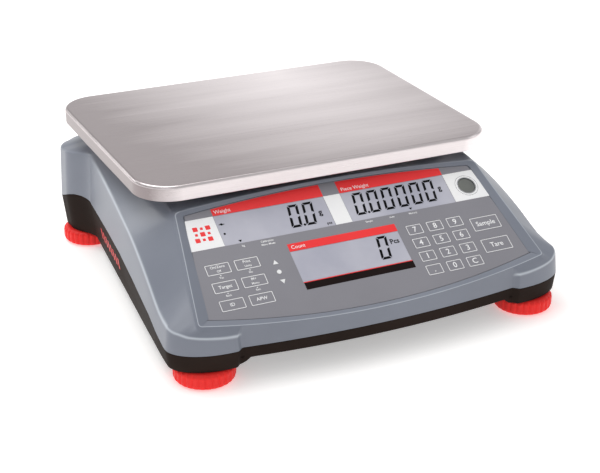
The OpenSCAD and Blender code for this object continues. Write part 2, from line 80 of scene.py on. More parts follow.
# The keys travel straight into the panel, so their joints give its slope. A place on the panel is
# u across, v up the slope and w above the overlay
PRESS_AXIS = next(j for j in frame["joints"] if j["name"] == "press_0")["axis"]
SLOPE = math.atan2(PRESS_AXIS[1], -PRESS_AXIS[2])
SLOPE_COS, SLOPE_SIN = math.cos(SLOPE), math.sin(SLOPE)
OVERLAY_BOTTOM, OVERLAY_TOP = -15.3, 97.0
OVERLAY_LOWER_U, OVERLAY_UPPER_U = 135.2, 121.4
OVERLAY_LOWER_BOW, OVERLAY_UPPER_BOW = 1194.0, 2000.0
OVERLAY_GAP = 0.4
PANEL_Y = OVERLAY_LOW[1] - OVERLAY_BOTTOM * SLOPE_COS
PANEL_Z = OVERLAY_HIGH[2] - OVERLAY_TOP * SLOPE_SIN
PANEL_TO_WORLD = (
    Matrix.Translation((0, PANEL_Y * MM, PANEL_Z * MM))
    @ Matrix.Rotation(SLOPE, 4, "X")
    @ Matrix.Scale(MM, 4)
)
# Lowest and highest w of printed ink, of its second layer, and of the displays' ink
INK, SECOND_INK, LCD_INK = (-0.05, 0.06), (0.02, 0.11), (-0.16, -0.06)
BOLD = 0.012

# Outline of the housing
FRONT_HALF, WAIST_HALF, REAR_HALF = UPPER_HIGH[0], 144.0, 156.5
FRONT_Y, REAR_Y = UPPER_LOW[1], UPPER_HIGH[1]
NOTCH_X, NOTCH_Y, NOTCH_WIDTH = 112.5, -154.0, 4.0
CORNER_X, CORNER_Y, CORNER_FRONT = 121.0, -134.0, -158.0
SIDE_Y, WAIST_Y, FLARE_Y, REAR_ROUND = -40.0, 98.0, 128.0, 22.0
FRONT_DROP = NOTCH_Y - FRONT_Y
FRONT_BOW = NOTCH_X**2 / FRONT_DROP + FRONT_DROP

# The two shells and the pocket for the sockets in the rear wall
UPPER_WALL, LOWER_WALL, JOINT_GAP = 1.9, 2.8, 0.12
RIM_HEIGHT, RECESS = 1.9, -0.95
EDGE_Z, FLOOR_Z, REAR_JOINT_Z = 13.0, 19.0, 46.0
POCKET_LEFT, POCKET_RIGHT, POCKET_LOW, POCKET_TOP = -74.0, 118.0, 23.0, 44.0
POCKET_DEPTH, SOCKET_DEPTH, SOCKET_Z = 6.0, 22.0, 33.0
INLET_X, INLET_HALF, PORT_X, PORT_HALF = 92.0, (13.6, 9.9), -40.0, (9.6, 5.6)
STUD_HOLE, BOSS_RADIUS = 7.0, 10.0
FEET = ("front_left", "front_right", "rear_left", "rear_right")


# ------------------------------------------------------------------ shape tools


def eased(t):
    """3 t^2 - 2 t^3 of t held between 0 and 1."""
    c = np.clip(t, 0, 1)
    return c * c * (3 - 2 * c)


def points(x, y, z=0.0):
    """Stacks coordinates, each a number or an array, into an array of points."""
    return np.stack(np.broadcast_arrays(np.asarray(x, float), y, z), -1)


def pair(x, y):
    """Stacks two coordinates, each a number or an array, into an array of points in plan."""
    return points(x, y)[..., :2]


def even(path, count):
    """count points spaced evenly along a path by the length travelled, both ends included."""
    step = np.linalg.norm(np.diff(path, axis=0), axis=1)
    travel = np.concatenate([[0], np.cumsum(step)])
    at = np.linspace(0, travel[-1], count)
    return np.stack([np.interp(at, travel, path[:, k]) for k in range(path.shape[1])], 1)


def parabola(a, b, c, count):
    """Curve (1-t)^2 a + 2t(1-t) b + t^2 c."""
    t = np.linspace(0, 1, count)[:, None]
    return (1 - t) ** 2 * np.array(a) + 2 * t * (1 - t) * np.array(b) + t**2 * np.array(c)


def outward(path):
    """Unit normals of a path in plan, a quarter turn to the right of its direction."""
    along = np.gradient(path[:, :2], axis=0)
    along /= np.maximum(np.linalg.norm(along, axis=1, keepdims=True), 1e-9)
    return pair(along[:, 1], -along[:, 0])


def rounded(net, reach, steps=4):
    """Rounds the corners of each row of control points (..., M, 3). Within reach of a control P the
    row follows the parabola (1-t)^2 A + 2t(1-t) P + t^2 B, with A and B on the two edges at P."""
    reach = np.broadcast_to(np.asarray(reach, float), net.shape[:-1])[..., 1:-1, None]
    middle = net[..., 1:-1, :]
    ends = []
    for other in (net[..., :-2, :], net[..., 2:, :]):
        edge = other - middle
        length = np.maximum(np.linalg.norm(edge, axis=-1, keepdims=True), 1e-6)
        ends.append(middle + edge / length * np.minimum(reach, 0.46 * length))
    t = np.linspace(0, 1, steps + 1)[:, None]
    start, corner, stop = (a[..., None, :] for a in (ends[0], middle, ends[1]))
    curve = (1 - t) ** 2 * start + 2 * t * (1 - t) * corner + t**2 * stop
    curve = curve.reshape(*net.shape[:-2], -1, 3)
    return np.concatenate([net[..., :1, :], curve, net[..., -1:, :]], axis=-2)


def turned_profile(radii, heights, reach, steps):
    """(radius, height) points of a turned shape, with its corners rounded."""
    return rounded(points(radii, 0, heights), reach, steps)[:, [0, 2]]


def grid_faces(rows, columns, closed):
    """Quads of a grid of rows x columns points, whose last row joins the first where closed."""
    i = np.arange(rows if closed else rows - 1)[:, None]
    j = np.arange(columns - 1)[None, :]
    a, b = i * columns + j, (i + 1) % rows * columns + j
    return np.stack([a, b, b + 1, a + 1], -1).reshape(-1, 4)


def mirrored_loop(half):
    """Right half of a ring of rows, front to back, and its mirror image back to front."""
    return np.concatenate([half, (half * [-1, 1, 1])[::-1][1:-1]])


def ladder(half):
    """Flat cap of a mirrored ring: a strip of quads between each point and its mirror image."""
    return np.stack([half * [share, 1, 1] for share in (-1, -1 / 3, 1 / 3, 1)], 1)


def circle(centre, radius, count=48):
    """Points of a circle in the panel's own plane."""
    a = np.arange(count) / count * 2 * np.pi
    return pair(centre[0] + radius * np.cos(a), centre[1] + radius * np.sin(a))


def rectangle(u0, u1, v0, v1, round_by=0.0):
    """Corners of a rectangle, or its outline with corners rounded by quarter circles."""
    u, v = np.array([[u1], [u1], [u0], [u0]], float), np.array([[v0], [v1], [v1], [v0]], float)
    if not round_by:
        return np.concatenate([u, v], 1)
    turn = np.arange(4)[:, None] * np.pi / 2 + np.linspace(-np.pi / 2, 0, 5)
    u = u + round_by * (np.cos(turn) - [[1], [1], [-1], [-1]])
    v = v + round_by * (np.sin(turn) - [[-1], [1], [1], [-1]])
    return pair(u.ravel(), v.ravel())


def weld(mesh, sharp=15):
    """Merges doubles, turns the faces outwards and shades smooth with sharp edges past an angle."""
    work = bmesh.new()
    work.from_mesh(mesh)
    bmesh.ops.remove_doubles(work, verts=work.verts, dist=2e-6)
    bmesh.ops.dissolve_degenerate(work, dist=1e-7, edges=work.edges)
    bmesh.ops.recalc_face_normals(work, faces=work.faces)
    work.to_mesh(mesh)
    work.free()
    mesh.shade_smooth()
    mesh.set_sharp_from_angle(angle=math.radians(sharp))
    return mesh


def mesh_of_grids(grids, sharp=32, crest=None):
    """One mesh of several grids. Each is (points (R, C, 3) in millimetres, closed or not). crest is
    a value for each vertex: its share of the painted highlight that the housing's material mixes into its colour."""
    vertices, faces, start = [], [], 0
    for net, closed in grids:
        vertices.append(net.reshape(-1, 3))
        faces.append(grid_faces(net.shape[0], net.shape[1], closed) + start)
        start += net.shape[0] * net.shape[1]
    mesh = bpy.data.meshes.new("grids")
    mesh.from_pydata(np.concatenate(vertices) * MM, [], np.concatenate(faces).tolist())
    if crest is not None:
        # Each vertex's share of painted highlight, read by the housing's material.
        mesh.attributes.new("crest", "FLOAT", "POINT").data.foreach_set("value", crest.ravel())
    return weld(mesh, sharp)


def revolved(profile, centre, count=64, wave=None):
    """Grid of a profile of (radius, height) points turned about a vertical axis. wave gives each
    step round the axis its own share of the radius."""
    a = np.arange(count) / count * 2 * np.pi
    radius = profile[None, :, 0] * (1 if wave is None else wave(a[:, None], profile[None, :, 0]))
    return points(
        centre[0] + radius * np.cos(a)[:, None],
        centre[1] + radius * np.sin(a)[:, None],
        np.broadcast_to(profile[None, :, 1], radius.shape),
    )


def as_mesh(curve, u, v, span):
    """Turns a flat curve or lettering into a mesh and puts its place on the panel into the mesh."""
    holder = bpy.data.objects.new("holder", curve)
    bpy.context.scene.collection.objects.link(holder)
    seen = holder.evaluated_get(bpy.context.evaluated_depsgraph_get())
    mesh = bpy.data.meshes.new_from_object(seen)
    bpy.data.objects.remove(holder)
    bpy.data.curves.remove(curve)
    mesh.transform(PANEL_TO_WORLD @ Matrix.Translation((u, v, sum(span) / 2)))
    return mesh


def flat_mesh(loops, span=INK, bevel=0.0):
    """A plate on the panel over a span of w: the even-odd fill of outlines in the panel's plane."""
    curve = bpy.data.curves.new("outlines", "CURVE")
    curve.dimensions, curve.fill_mode = "2D", "BOTH"
    for loop in loops:
        spline = curve.splines.new("POLY")
        spline.points.add(len(loop) - 1)
        ends = np.column_stack([loop, np.zeros(len(loop)), np.ones(len(loop))])
        spline.points.foreach_set("co", ends.ravel())
        spline.use_cyclic_u = True
    curve.extrude = (span[1] - span[0]) / 2 - bevel
    curve.bevel_depth, curve.bevel_resolution, curve.offset = bevel, 1, -bevel
    return as_mesh(curve, 0, 0, span)


def text_mesh(words, u, v, size, span=INK, align="CENTER", bold=BOLD):
    """Generic lettering centred on (u, v) of the panel, size millimetres tall."""
    curve = bpy.data.curves.new("lettering", "FONT")
    curve.body, curve.size, curve.extrude = words, size * 1.35, (span[1] - span[0]) / 2
    curve.align_x, curve.align_y = align, "CENTER"
    curve.resolution_u, curve.offset = 3, bold * size
    return as_mesh(curve, u, v, span)


def joined(meshes):
    """One mesh holding several, welded and facing outwards."""
    work = bmesh.new()
    for part in meshes:
        work.from_mesh(part)
        bpy.data.meshes.remove(part)
    mesh = bpy.data.meshes.new("joined")
    work.to_mesh(mesh)
    work.free()
    return weld(mesh)


def place(name, mesh, body, look, replaces=(), slot=None, soften=True):
    """Puts a finished mesh in the scene as a piece that rides on a body of the frame. Its slot argument is not
    used."""
    mesh.name = name
    piece = bpy.data.objects.new(name, mesh)
    bpy.context.scene.collection.objects.link(piece)
    mesh.materials.clear()
    mesh.materials.append(finish(look))
    if soften:
        piece.modifiers.new("even_light", "WEIGHTED_NORMAL").keep_sharp = True
    slot = slot or look
    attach(piece, body)
    if replaces:
        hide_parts(*replaces)
    return piece


# ------------------------------------------------------------------ node groups and materials


def colour(red, green, blue):
    """Linear colour with alpha from display values of 0 to 255."""
    c = np.array([red, green, blue]) / 255
    linear = np.where(c <= 0.04045, c / 12.92, ((c + 0.055) / 1.055) ** 2.4)
    return (*linear.tolist(), 1.0)


def add(tree, kind, inputs=(), **settings):
    """A node with its settings, its sockets' values, and links where a value is another socket."""
    node = tree.nodes.new(kind)
    for key, value in settings.items():
        setattr(node, key, value)
    for key, value in dict(inputs).items():
        if isinstance(value, bpy.types.NodeSocket):
            tree.links.new(value, node.inputs[key])
        else:
            node.inputs[key].default_value = value
    return node


def maths(tree, operation, *values, clamp=False):
    """Result of a Math node on its values, each a number or a socket."""
    node = add(tree, "ShaderNodeMath", enumerate(values), operation=operation, use_clamp=clamp)
    return node.outputs[0]


def ranged(tree, value, low, high, to_low=0.0, to_high=1.0, **settings):
    """A value carried from the span low to high to the span to_low to to_high."""
    spans = {"Value": value, "From Min": low, "From Max": high, "To Min": to_low, "To Max": to_high}
    return add(tree, "ShaderNodeMapRange", spans, **settings).outputs["Result"]


def blended(tree, share, first, second):
    """Colour between two colours."""
    inputs = {0: share, 6: first, 7: second}
    return add(tree, "ShaderNodeMix", inputs, data_type="RGBA").outputs[2]


def mapped(tree, vector, scale):
    """A place scaled along each axis."""
    return add(tree, "ShaderNodeMapping", {"Vector": vector, "Scale": scale}).outputs[0]


def noise(tree, vector, scale, detail, **more):
    """Noise of a scale and detail at a place."""
    inputs = {"Vector": vector, "Scale": scale, "Detail": detail, **more}
    return add(tree, "ShaderNodeTexNoise", inputs).outputs["Fac"]


def raised(tree, strength, height):
    """Normal of a surface that a height raises by up to a fifth of a millimetre."""
    inputs = {"Strength": strength, "Distance": 0.0002, "Height": height}
    return add(tree, "ShaderNodeBump", inputs).outputs["Normal"]


GROUPS = {}
TONES = {"Tone A": (0.5, 0.5, 0.5, 1), "Tone B": (0.5, 0.5, 0.5, 1)}
GIVES = {"Colour": "NodeSocketColor", "Roughness": "NodeSocketFloat", "Normal": "NodeSocketVector"}


def group(name, values):
    """An empty shader node group that takes two tones and named values and gives a colour, a
    roughness and a normal, with the sockets that it takes."""
    tree = GROUPS[name] = bpy.data.node_groups.new(name, "ShaderNodeTree")
    for label, default in {**TONES, **values}.items():
        kind = "NodeSocketColor" if label in TONES else "NodeSocketFloat"
        tree.interface.new_socket(label, in_out="INPUT", socket_type=kind).default_value = default
    for label, kind in GIVES.items():
        tree.interface.new_socket(label, in_out="OUTPUT", socket_type=kind)
    return tree, tree.nodes.new("NodeGroupInput").outputs


def give(tree, *sockets):
    """Ends a group with its colour, roughness and normal."""
    result = tree.nodes.new("NodeGroupOutput").inputs
    for label, socket in zip(GIVES, sockets):
        tree.links.new(socket, result[label])


def make_moulded_grain():
    """Fine texture of moulded plastic: two sizes of noise raise the surface, and a slow noise shifts
    the tone between two colours and the gloss between two values. Where the crest attribute is set, the colour is
    mixed towards a pale blue-white as a painted highlight."""
    tree, given = group(
        "moulded_grain",
        {
            "Grain Scale": 1400.0,
            "Grain Depth": 0.15,
            "Drift Scale": 18.0,
            "Gloss Low": 0.4,
            "Gloss High": 0.5,
            "Painted Edge Light": 0.5,
        },
    )
    at = add(tree, "ShaderNodeTexCoord").outputs["Object"]
    grain = maths(tree, "ADD", noise(tree, at, given["Grain Scale"], 2.0), noise(tree, at, 420.0, 3.0))
    drift = noise(tree, at, given["Drift Scale"], 4.0)
    tone = blended(tree, ranged(tree, drift, 0.3, 0.7), given["Tone A"], given["Tone B"])
    # Painted highlight: where the crest attribute is set, the colour is mixed towards a pale blue-white.
    crest = add(tree, "ShaderNodeAttribute", attribute_name="crest").outputs["Fac"]
    edge = maths(tree, "MULTIPLY", crest, given["Painted Edge Light"])
    give(
        tree,
        blended(tree, edge, tone, (0.82, 0.88, 0.95, 1)),
        ranged(tree, drift, 0.3, 0.7, given["Gloss Low"], given["Gloss High"]),
        raised(tree, given["Grain Depth"], grain),
    )


def make_brushed_metal():
    """Brushed sheet: noise stretched along X makes fine lines, which tilt the surface and shift its
    gloss, and a wide noise shifts the tone. Painted reflection and shade: a level face is darker with its distance
    from one painted bright spot, a face that looks left gets painted shade, and a bend between faces keeps a
    painted highlight."""
    tree, given = group(
        "brushed_metal",
        {
            "Painted Light": 0.0,
            "Contrast": 1.0,
            "Level": 0.5,
            "Line Scale": 900.0,
            "Line Depth": 0.1,
            "Gloss Low": 0.3,
            "Gloss High": 0.42,
        },
    )
    at = add(tree, "ShaderNodeTexCoord").outputs["Object"]
    brushed_at = mapped(tree, at, (0.012, 1.0, 1.0))
    lines = noise(tree, brushed_at, given["Line Scale"], 5.0, Roughness=0.7)
    cloud = noise(tree, mapped(tree, at, (1.5, 14.0, 14.0)), 3.0, 4.0)

    # Painted reflection: a level face gets darker with its distance from one bright spot in plan.
    flat_at = mapped(tree, at, (1.3, 0.8, 0.0))
    bright_at = {0: flat_at, 1: (0.065, 0.12, 0.0)}
    reach = add(tree, "ShaderNodeVectorMath", bright_at, operation="DISTANCE").outputs["Value"]
    normal = add(tree, "ShaderNodeTexCoord").outputs["Normal"]
    facing = add(tree, "ShaderNodeSeparateXYZ", {0: normal}).outputs
    level = maths(tree, "MULTIPLY", facing["Z"], reach, clamp=True)
    # Painted shade on faces that look left; a bend between level and upright faces keeps a painted highlight.
    left = maths(tree, "MULTIPLY_ADD", facing["X"], -0.3, 0.05, clamp=True)
    upright = maths(tree, "LESS_THAN", facing["Z"], 0.12)
    unbent = maths(tree, "MAXIMUM", ranged(tree, facing["Z"], 0.9, 0.99, 0.3), upright)
    shade = maths(tree, "MULTIPLY", maths(tree, "ADD", level, left), unbent)
    painted_light = maths(tree, "MULTIPLY", shade, given["Painted Light"])
    streaks = ranged(tree, maths(tree, "ADD", lines, cloud), 0.5, 1.5, -0.5, 0.5)
    scaled = maths(tree, "MULTIPLY_ADD", streaks, given["Contrast"], given["Level"])
    share = ranged(tree, maths(tree, "SUBTRACT", scaled, painted_light), 0.0, 1.0)
    give(
        tree,
        blended(tree, share, given["Tone A"], given["Tone B"]),
        ranged(tree, lines, 0.3, 0.7, given["Gloss Low"], given["Gloss High"]),
        raised(tree, given["Line Depth"], lines),
    )


def material(name, group_name, tones, gloss, values, shader):
    """A Principled material whose colour, gloss and normal come from a shared node group."""
    name = "finish_" + name
    if name in bpy.data.materials:
        return bpy.data.materials[name]
    made = bpy.data.materials.new(name)
    made.use_nodes = True
    tree = made.node_tree
    principled = tree.nodes["Principled BSDF"]
    for key, value in shader.items():
        principled.inputs[key].default_value = value
    given = {"Tone A": tones[0], "Tone B": tones[1], "Gloss Low": gloss[0], "Gloss High": gloss[1]}
    surface = add(tree, "ShaderNodeGroup", node_tree=GROUPS[group_name])
    for key, value in {**given, **values}.items():
        surface.inputs[key].default_value = value
    for output, socket in zip(GIVES, ("Base Color", "Roughness", "Normal")):
        tree.links.new(surface.outputs[output], principled.inputs[socket])
    return made


def plastic(name, tones, gloss=(0.4, 0.5), grain=0.15, scale=1400.0, shader=()):
    """Moulded plastic or a printed film between two tones."""
    values = {"Grain Scale": scale, "Grain Depth": grain}
    return material(name, "moulded_grain", tones, gloss, values, dict(shader))


def metal(name, tones, gloss=(0.3, 0.42), lines=0.1, scale=900.0, painted_light=0.0, level=0.5, contrast=1.0):
    """Brushed, turned or cast metal between two tones."""
    values = {"Line Scale": scale, "Line Depth": lines, "Painted Light": painted_light, "Level": level, "Contrast": contrast}
    return material(name, "brushed_metal", tones, gloss, values, {"Metallic": 1.0})


# Look: maker, material, its two tones as display values, and the maker's other values
SPECULAR = "Specular IOR Level"
FINISHES = {
    # Stainless: its dark tone is painted shade and its light tone painted reflection; 3.5 sets how strongly a face
    # is pulled towards the shade.
    "stainless": (
        (metal, "brushed_stainless", (146, 137, 138), (246, 238, 239)),
        {"gloss": (0.26, 0.36), "lines": 0.12, "painted_light": 3.5, "level": 0.99, "contrast": 0.35},
    ),
    "cast_aluminium": (
        (metal, "cast_aluminium", (165, 166, 168), (190, 191, 192)),
        {"gloss": (0.5, 0.62), "lines": 0.3, "scale": 500.0},
    ),
    "machined_aluminium": (
        (metal, "machined_aluminium", (205, 206, 208), (226, 227, 228)),
        {"gloss": (0.26, 0.34)},
    ),
    "steel_screws": (
        (metal, "zinc_plated_steel", (170, 172, 176), (196, 197, 199)),
        {"gloss": (0.25, 0.36)},
    ),
    "connector_steel": (
        (metal, "connector_steel", (180, 182, 186), (208, 209, 211)),
        {"gloss": (0.22, 0.32)},
    ),
    "zinc_strap": (
        (metal, "zinc_strap", (178, 180, 178), (205, 206, 202)),
        {"gloss": (0.35, 0.5), "lines": 0.2},
    ),
    "brass": ((metal, "turned_brass", (196, 160, 92), (214, 182, 118)), {"gloss": (0.24, 0.34)}),
    "housing_grey": (
        (plastic, "housing_grey", (121, 126, 138), (127, 132, 144)),
        {"gloss": (0.32, 0.4), "grain": 0.1},
    ),
    "housing_black": (
        (plastic, "housing_black", (38, 30, 27), (46, 37, 33)),
        {"gloss": (0.5, 0.6), "grain": 0.18, "shader": {SPECULAR: 0.03}},
    ),
    "overlay_grey": (
        (plastic, "overlay_film", (135, 134, 141), (139, 138, 145)),
        {"gloss": (0.4, 0.46), "grain": 0.06},
    ),
    "key_film": (
        (plastic, "key_film", (135, 134, 141), (139, 138, 145)),
        {"gloss": (0.4, 0.46), "grain": 0.06},
    ),
    "white_print": ((plastic, "white_print", (246, 246, 248), (252, 252, 252)), {"grain": 0.04}),
    "red_print": (
        (plastic, "red_print", (246, 44, 48), (250, 50, 52)),
        {"gloss": (0.36, 0.44), "grain": 0.05},
    ),
    "black_print": (
        (plastic, "black_print", (28, 20, 20), (34, 25, 24)),
        {"grain": 0.05, "shader": {SPECULAR: 0.05}},
    ),
    "lcd_glass": (
        (plastic, "lcd_glass", (170, 171, 186), (196, 196, 207)),
        {"gloss": (0.2, 0.26), "grain": 0.02, "shader": {SPECULAR: 0.3}},
    ),
    "lcd_ink": (
        (plastic, "lcd_ink", (4, 4, 8), (9, 9, 13)),
        {"grain": 0.02, "shader": {SPECULAR: 0.1}},
    ),
    "light_guide": (
        (plastic, "light_guide", (238, 240, 242), (248, 248, 248)),
        {"gloss": (0.2, 0.3), "grain": 0.02},
    ),
    "vial_holder": ((plastic, "vial_holder", (44, 44, 46), (52, 52, 54)), {}),
    "vial_glass": (
        (plastic, "vial_glass", (86, 87, 87), (118, 121, 116)),
        {"gloss": (0.12, 0.2), "grain": 0.0, "shader": {"Coat Weight": 0.3}},
    ),
    "green_board": (
        (plastic, "green_board", (22, 84, 48), (30, 98, 58)),
        {"gloss": (0.35, 0.5), "grain": 0.3, "scale": 700.0},
    ),
    "battery_case": (
        (plastic, "battery_case", (52, 56, 64), (60, 64, 72)),
        {"gloss": (0.45, 0.6)},
    ),
    "black_rubber": (
        (plastic, "black_rubber", (30, 29, 29), (38, 37, 36)),
        {"gloss": (0.62, 0.78), "grain": 0.4},
    ),
    "connector_black": (
        (plastic, "connector_black", (20, 20, 21), (28, 28, 29)),
        {"gloss": (0.36, 0.48)},
    ),
    "red_plastic": (
        (plastic, "red_plastic", (244, 44, 42), (250, 54, 50)),
        {"gloss": (0.36, 0.44), "grain": 0.08, "shader": {SPECULAR: 0.2}},
    ),
}


def finish(look):
    """The material of a look."""
    (maker, name, *tones), values = FINISHES[look]
    return maker(name, [colour(*tone) for tone in tones], **values)


# ------------------------------------------------------------------ outline of the housing


def front_line(x):
    """Y of the front wall: the lowest point FRONT_Y plus x^2 over its bow."""
    return FRONT_Y + x * x / FRONT_BOW


def side_half_width(y):
    """Half width along the sides: front to waist by a 1.25 power, then eased out to the rear."""
    t = np.clip((y - CORNER_Y) / (WAIST_Y - CORNER_Y), 0, 1)
    tapered = FRONT_HALF + (WAIST_HALF - FRONT_HALF) * t**1.25
    return tapered + (REAR_HALF - WAIST_HALF) * eased((y - WAIST_Y) / (FLARE_Y - WAIST_Y))


def outline_sections():
    """Right half of the housing's outline in plan, in seven stretches from front to back: front,
    notch, front corner, side, waist, flare with the rear corner, and rear. The rear has a pair of
    close steps at each edge of the pocket and its sockets."""
    x = np.linspace(0, NOTCH_X, 40)
    turn = np.radians(np.linspace(-94, 0, 48))
    corner = pair(
        CORNER_X + (FRONT_HALF - CORNER_X) * np.cos(turn),
        CORNER_Y + (CORNER_Y - CORNER_FRONT) * np.sin(turn),
    )
    step = np.linspace(0, 1, 9)
    start_y = front_line(NOTCH_X)
    notch = pair(
        NOTCH_X + (corner[0, 0] - NOTCH_X) * step, start_y + (corner[0, 1] - start_y) * eased(step)
    )
    side = np.linspace(CORNER_Y, SIDE_Y, 40)
    waist = np.linspace(SIDE_Y, WAIST_Y, 46)
    flare = np.linspace(WAIST_Y, REAR_Y - REAR_ROUND, 26)
    turn = np.linspace(0, np.pi / 2, 24)[1:]
    rear_corner = pair(np.cos(turn), np.sin(turn)) * REAR_ROUND
    rear_corner += [REAR_HALF - REAR_ROUND, REAR_Y - REAR_ROUND]
    edges = [INLET_X - INLET_HALF[0], INLET_X + INLET_HALF[0], -POCKET_LEFT, POCKET_RIGHT]
    edges = np.array(edges + [-PORT_X - PORT_HALF[0], -PORT_X + PORT_HALF[0]])
    steps = np.linspace(0, REAR_HALF - REAR_ROUND, 40)
    rear_x = np.unique(np.concatenate([steps, edges - 0.1, edges + 0.1]).round(3))[::-1]
    return [
        pair(x, front_line(x)),
        notch,
        corner,
        pair(side_half_width(side), side),
        pair(side_half_width(waist), waist),
        np.concatenate([pair(side_half_width(flare), flare), rear_corner]),
        pair(rear_x, REAR_Y),
    ]


SECTIONS = outline_sections()
COUNTS = [len(s) - 1 for s in SECTIONS[:-1]] + [len(SECTIONS[-1])]
OUTLINE = np.concatenate([s[:n] for s, n in zip(SECTIONS, COUNTS)])
SECTION_OF = np.repeat(np.arange(len(COUNTS)), COUNTS)
FRONT, NOTCH, CORNER, WAIST, REAR = 0, 1, 2, 4, 6
OUTWARD = outward(OUTLINE)
OUTWARD[0], OUTWARD[-1] = (0, -1), (0, 1)


def spread(paths, counts=COUNTS):
    """Points along one path for each of the outline's last stretches, with equal counts."""
    last = len(paths) - 1
    return np.concatenate(
        [even(p, n if k == last else n + 1)[:n] for k, (p, n) in enumerate(zip(paths, counts))]
    )


def inset(distance):
    """The outline moved inwards in plan by a distance, which may differ along it."""
    return OUTLINE - OUTWARD * np.broadcast_to(np.asarray(distance, float), len(OUTLINE))[:, None]


def joint_height():
    """Height of the line between the two housings: it climbs towards the back, arches over each rear
    foot and dips at the corner."""
    x, y = OUTLINE[:, 0], OUTLINE[:, 1]
    side = np.interp(
        y,
        [-130, -112, -95, -50, -10, 30, 60, 84, 96, 103, 110, 117, 124, 131, 138.5, 160.5],
        [27, 30.5, 36, 43.5, 47.8, 48.5, 47.9, 47, 46.4, 47.8, 49, 48.6, 46.4, 43.4, 40.5, 37.5],
    )
    low = 37.5
    rear = low + (REAR_JOINT_Z - low) * eased((REAR_HALF - REAR_ROUND - x) / 14)
    return np.where(SECTION_OF == REAR, rear, side)


def deck_height(y):
    """Height of the deck under the pan."""
    return np.interp(y, [-62, -46, 100, 160], [99.6, 100.5, 95.0, 90.5])


def ridge_height():
    """Height of the shoulder's outer ridge along the outline."""
    x, y = OUTLINE[:, 0], OUTLINE[:, 1]
    front = np.interp(x, [112, 125, 135, 146, 154, 160], [38.2, 38.9, 39.8, 40.7, 41.7, 43.4])
    side = np.interp(
        y,
        [-144, -134, -125, -115, -105, -95, -85, -75, -65, -55, -45]
        + [-35, -20, 0, 20, 40, 60, 80, 96, 112, 138],
        [43.4, 45, 45.9, 48, 52.2, 57, 61.4, 65.4, 69, 72.4, 75.2]
        + [77.4, 79.7, 82.3, 84.6, 86.4, 87.8, 88.6, 88.6, 87.6, 83.5],
    )
    rear = np.interp(x, [0, 100, 131, 146, 156.5], [89.5, 88.5, 85.5, 82.5, 83.5])
    blend = eased((y + 150) / 12)
    z = np.where(SECTION_OF <= CORNER, front * (1 - blend) + side * blend, side)
    return np.where(y > REAR_Y - REAR_ROUND, rear, z)


def on_panel(u, v, w):
    """Points in millimetres at (u, v) on the panel, w above the overlay."""
    y = PANEL_Y + v * SLOPE_COS - w * SLOPE_SIN
    return points(u, y, PANEL_Z + v * SLOPE_SIN + w * SLOPE_COS)


def overlay_side(v, margin=0.0):
    """Half width of the overlay at v: a straight taper, plus a margin."""
    share = (v - OVERLAY_BOTTOM) / (OVERLAY_TOP - OVERLAY_BOTTOM)
    return OVERLAY_LOWER_U + (OVERLAY_UPPER_U - OVERLAY_LOWER_U) * share + margin


def overlay_bottom(u, margin=0.0):
    """(u, v) along the overlay's lower edge: u^2 over its bow, less a margin."""
    return pair(u, OVERLAY_BOTTOM - margin + u**2 / OVERLAY_LOWER_BOW)


def overlay_top(u, margin=0.0):
    """(u, v) along the overlay's upper edge: minus u^2 over its bow, plus a margin."""
    return pair(u, OVERLAY_TOP + margin - u**2 / OVERLAY_UPPER_BOW)


def rim_paths():
    """Right half of the rim round the overlay as (u, v) pairs of paths, crest and inner edge, one
    for each stretch of the outline: the front, round the lower corner, up the side, and then along
    the top, which the deck behind it runs up to."""

    def front(x):
        v = (front_line(x) + 0.9 - PANEL_Y + RIM_HEIGHT * SLOPE_SIN) / SLOPE_COS
        return pair(x, v)

    def side(v):
        return pair(142.7 - 0.1553 * v, v)

    notch_end = NOTCH_X + NOTCH_WIDTH
    top = [np.linspace(a, b, 12) for a, b in ((123.5, 60), (60, 34), (34, 0))]
    arc = [front(np.linspace(notch_end, 140.0, 16))]
    arc += [parabola(front(140.0), front(144.0) - [0, 0.5], side(-1.0), 12)[1:]]
    arc += [side(np.linspace(-1.0, 17.0, 12))[1:]]
    crest = [
        front(np.linspace(0, NOTCH_X, 30)),
        front(np.linspace(NOTCH_X, notch_end, 6)),
        np.concatenate(arc),
        np.concatenate(
            [side(np.linspace(17.0, 90.0, 40)), parabola(side(90.0), (128.4, 93.2), (123.5, 93.5), 10)[1:]]
        ),
        *[pair(u, 99.3 - u**2 / 2630) for u in top],
    ]

    v_corner, v_side = np.linspace(0.5, 23.0, 12), np.linspace(23.0, 89.6, 40)
    u_corner = np.linspace(110.5, OVERLAY_LOWER_U + OVERLAY_GAP, 14)
    corner = [overlay_bottom(u_corner, OVERLAY_GAP), pair(overlay_side(v_corner, OVERLAY_GAP), v_corner)]
    edge = [
        overlay_bottom(np.linspace(0, 106.5, 30), OVERLAY_GAP),
        overlay_bottom(np.linspace(106.5, 110.5, 6), OVERLAY_GAP),
        np.concatenate(corner),
        pair(overlay_side(v_side, OVERLAY_GAP), v_side),
        *[
            overlay_top(np.linspace(a, b, 12), OVERLAY_GAP)
            for a, b in ((121.6, 58), (58, 33), (33, 0))
        ],
    ]
    return spread(crest), spread(edge)


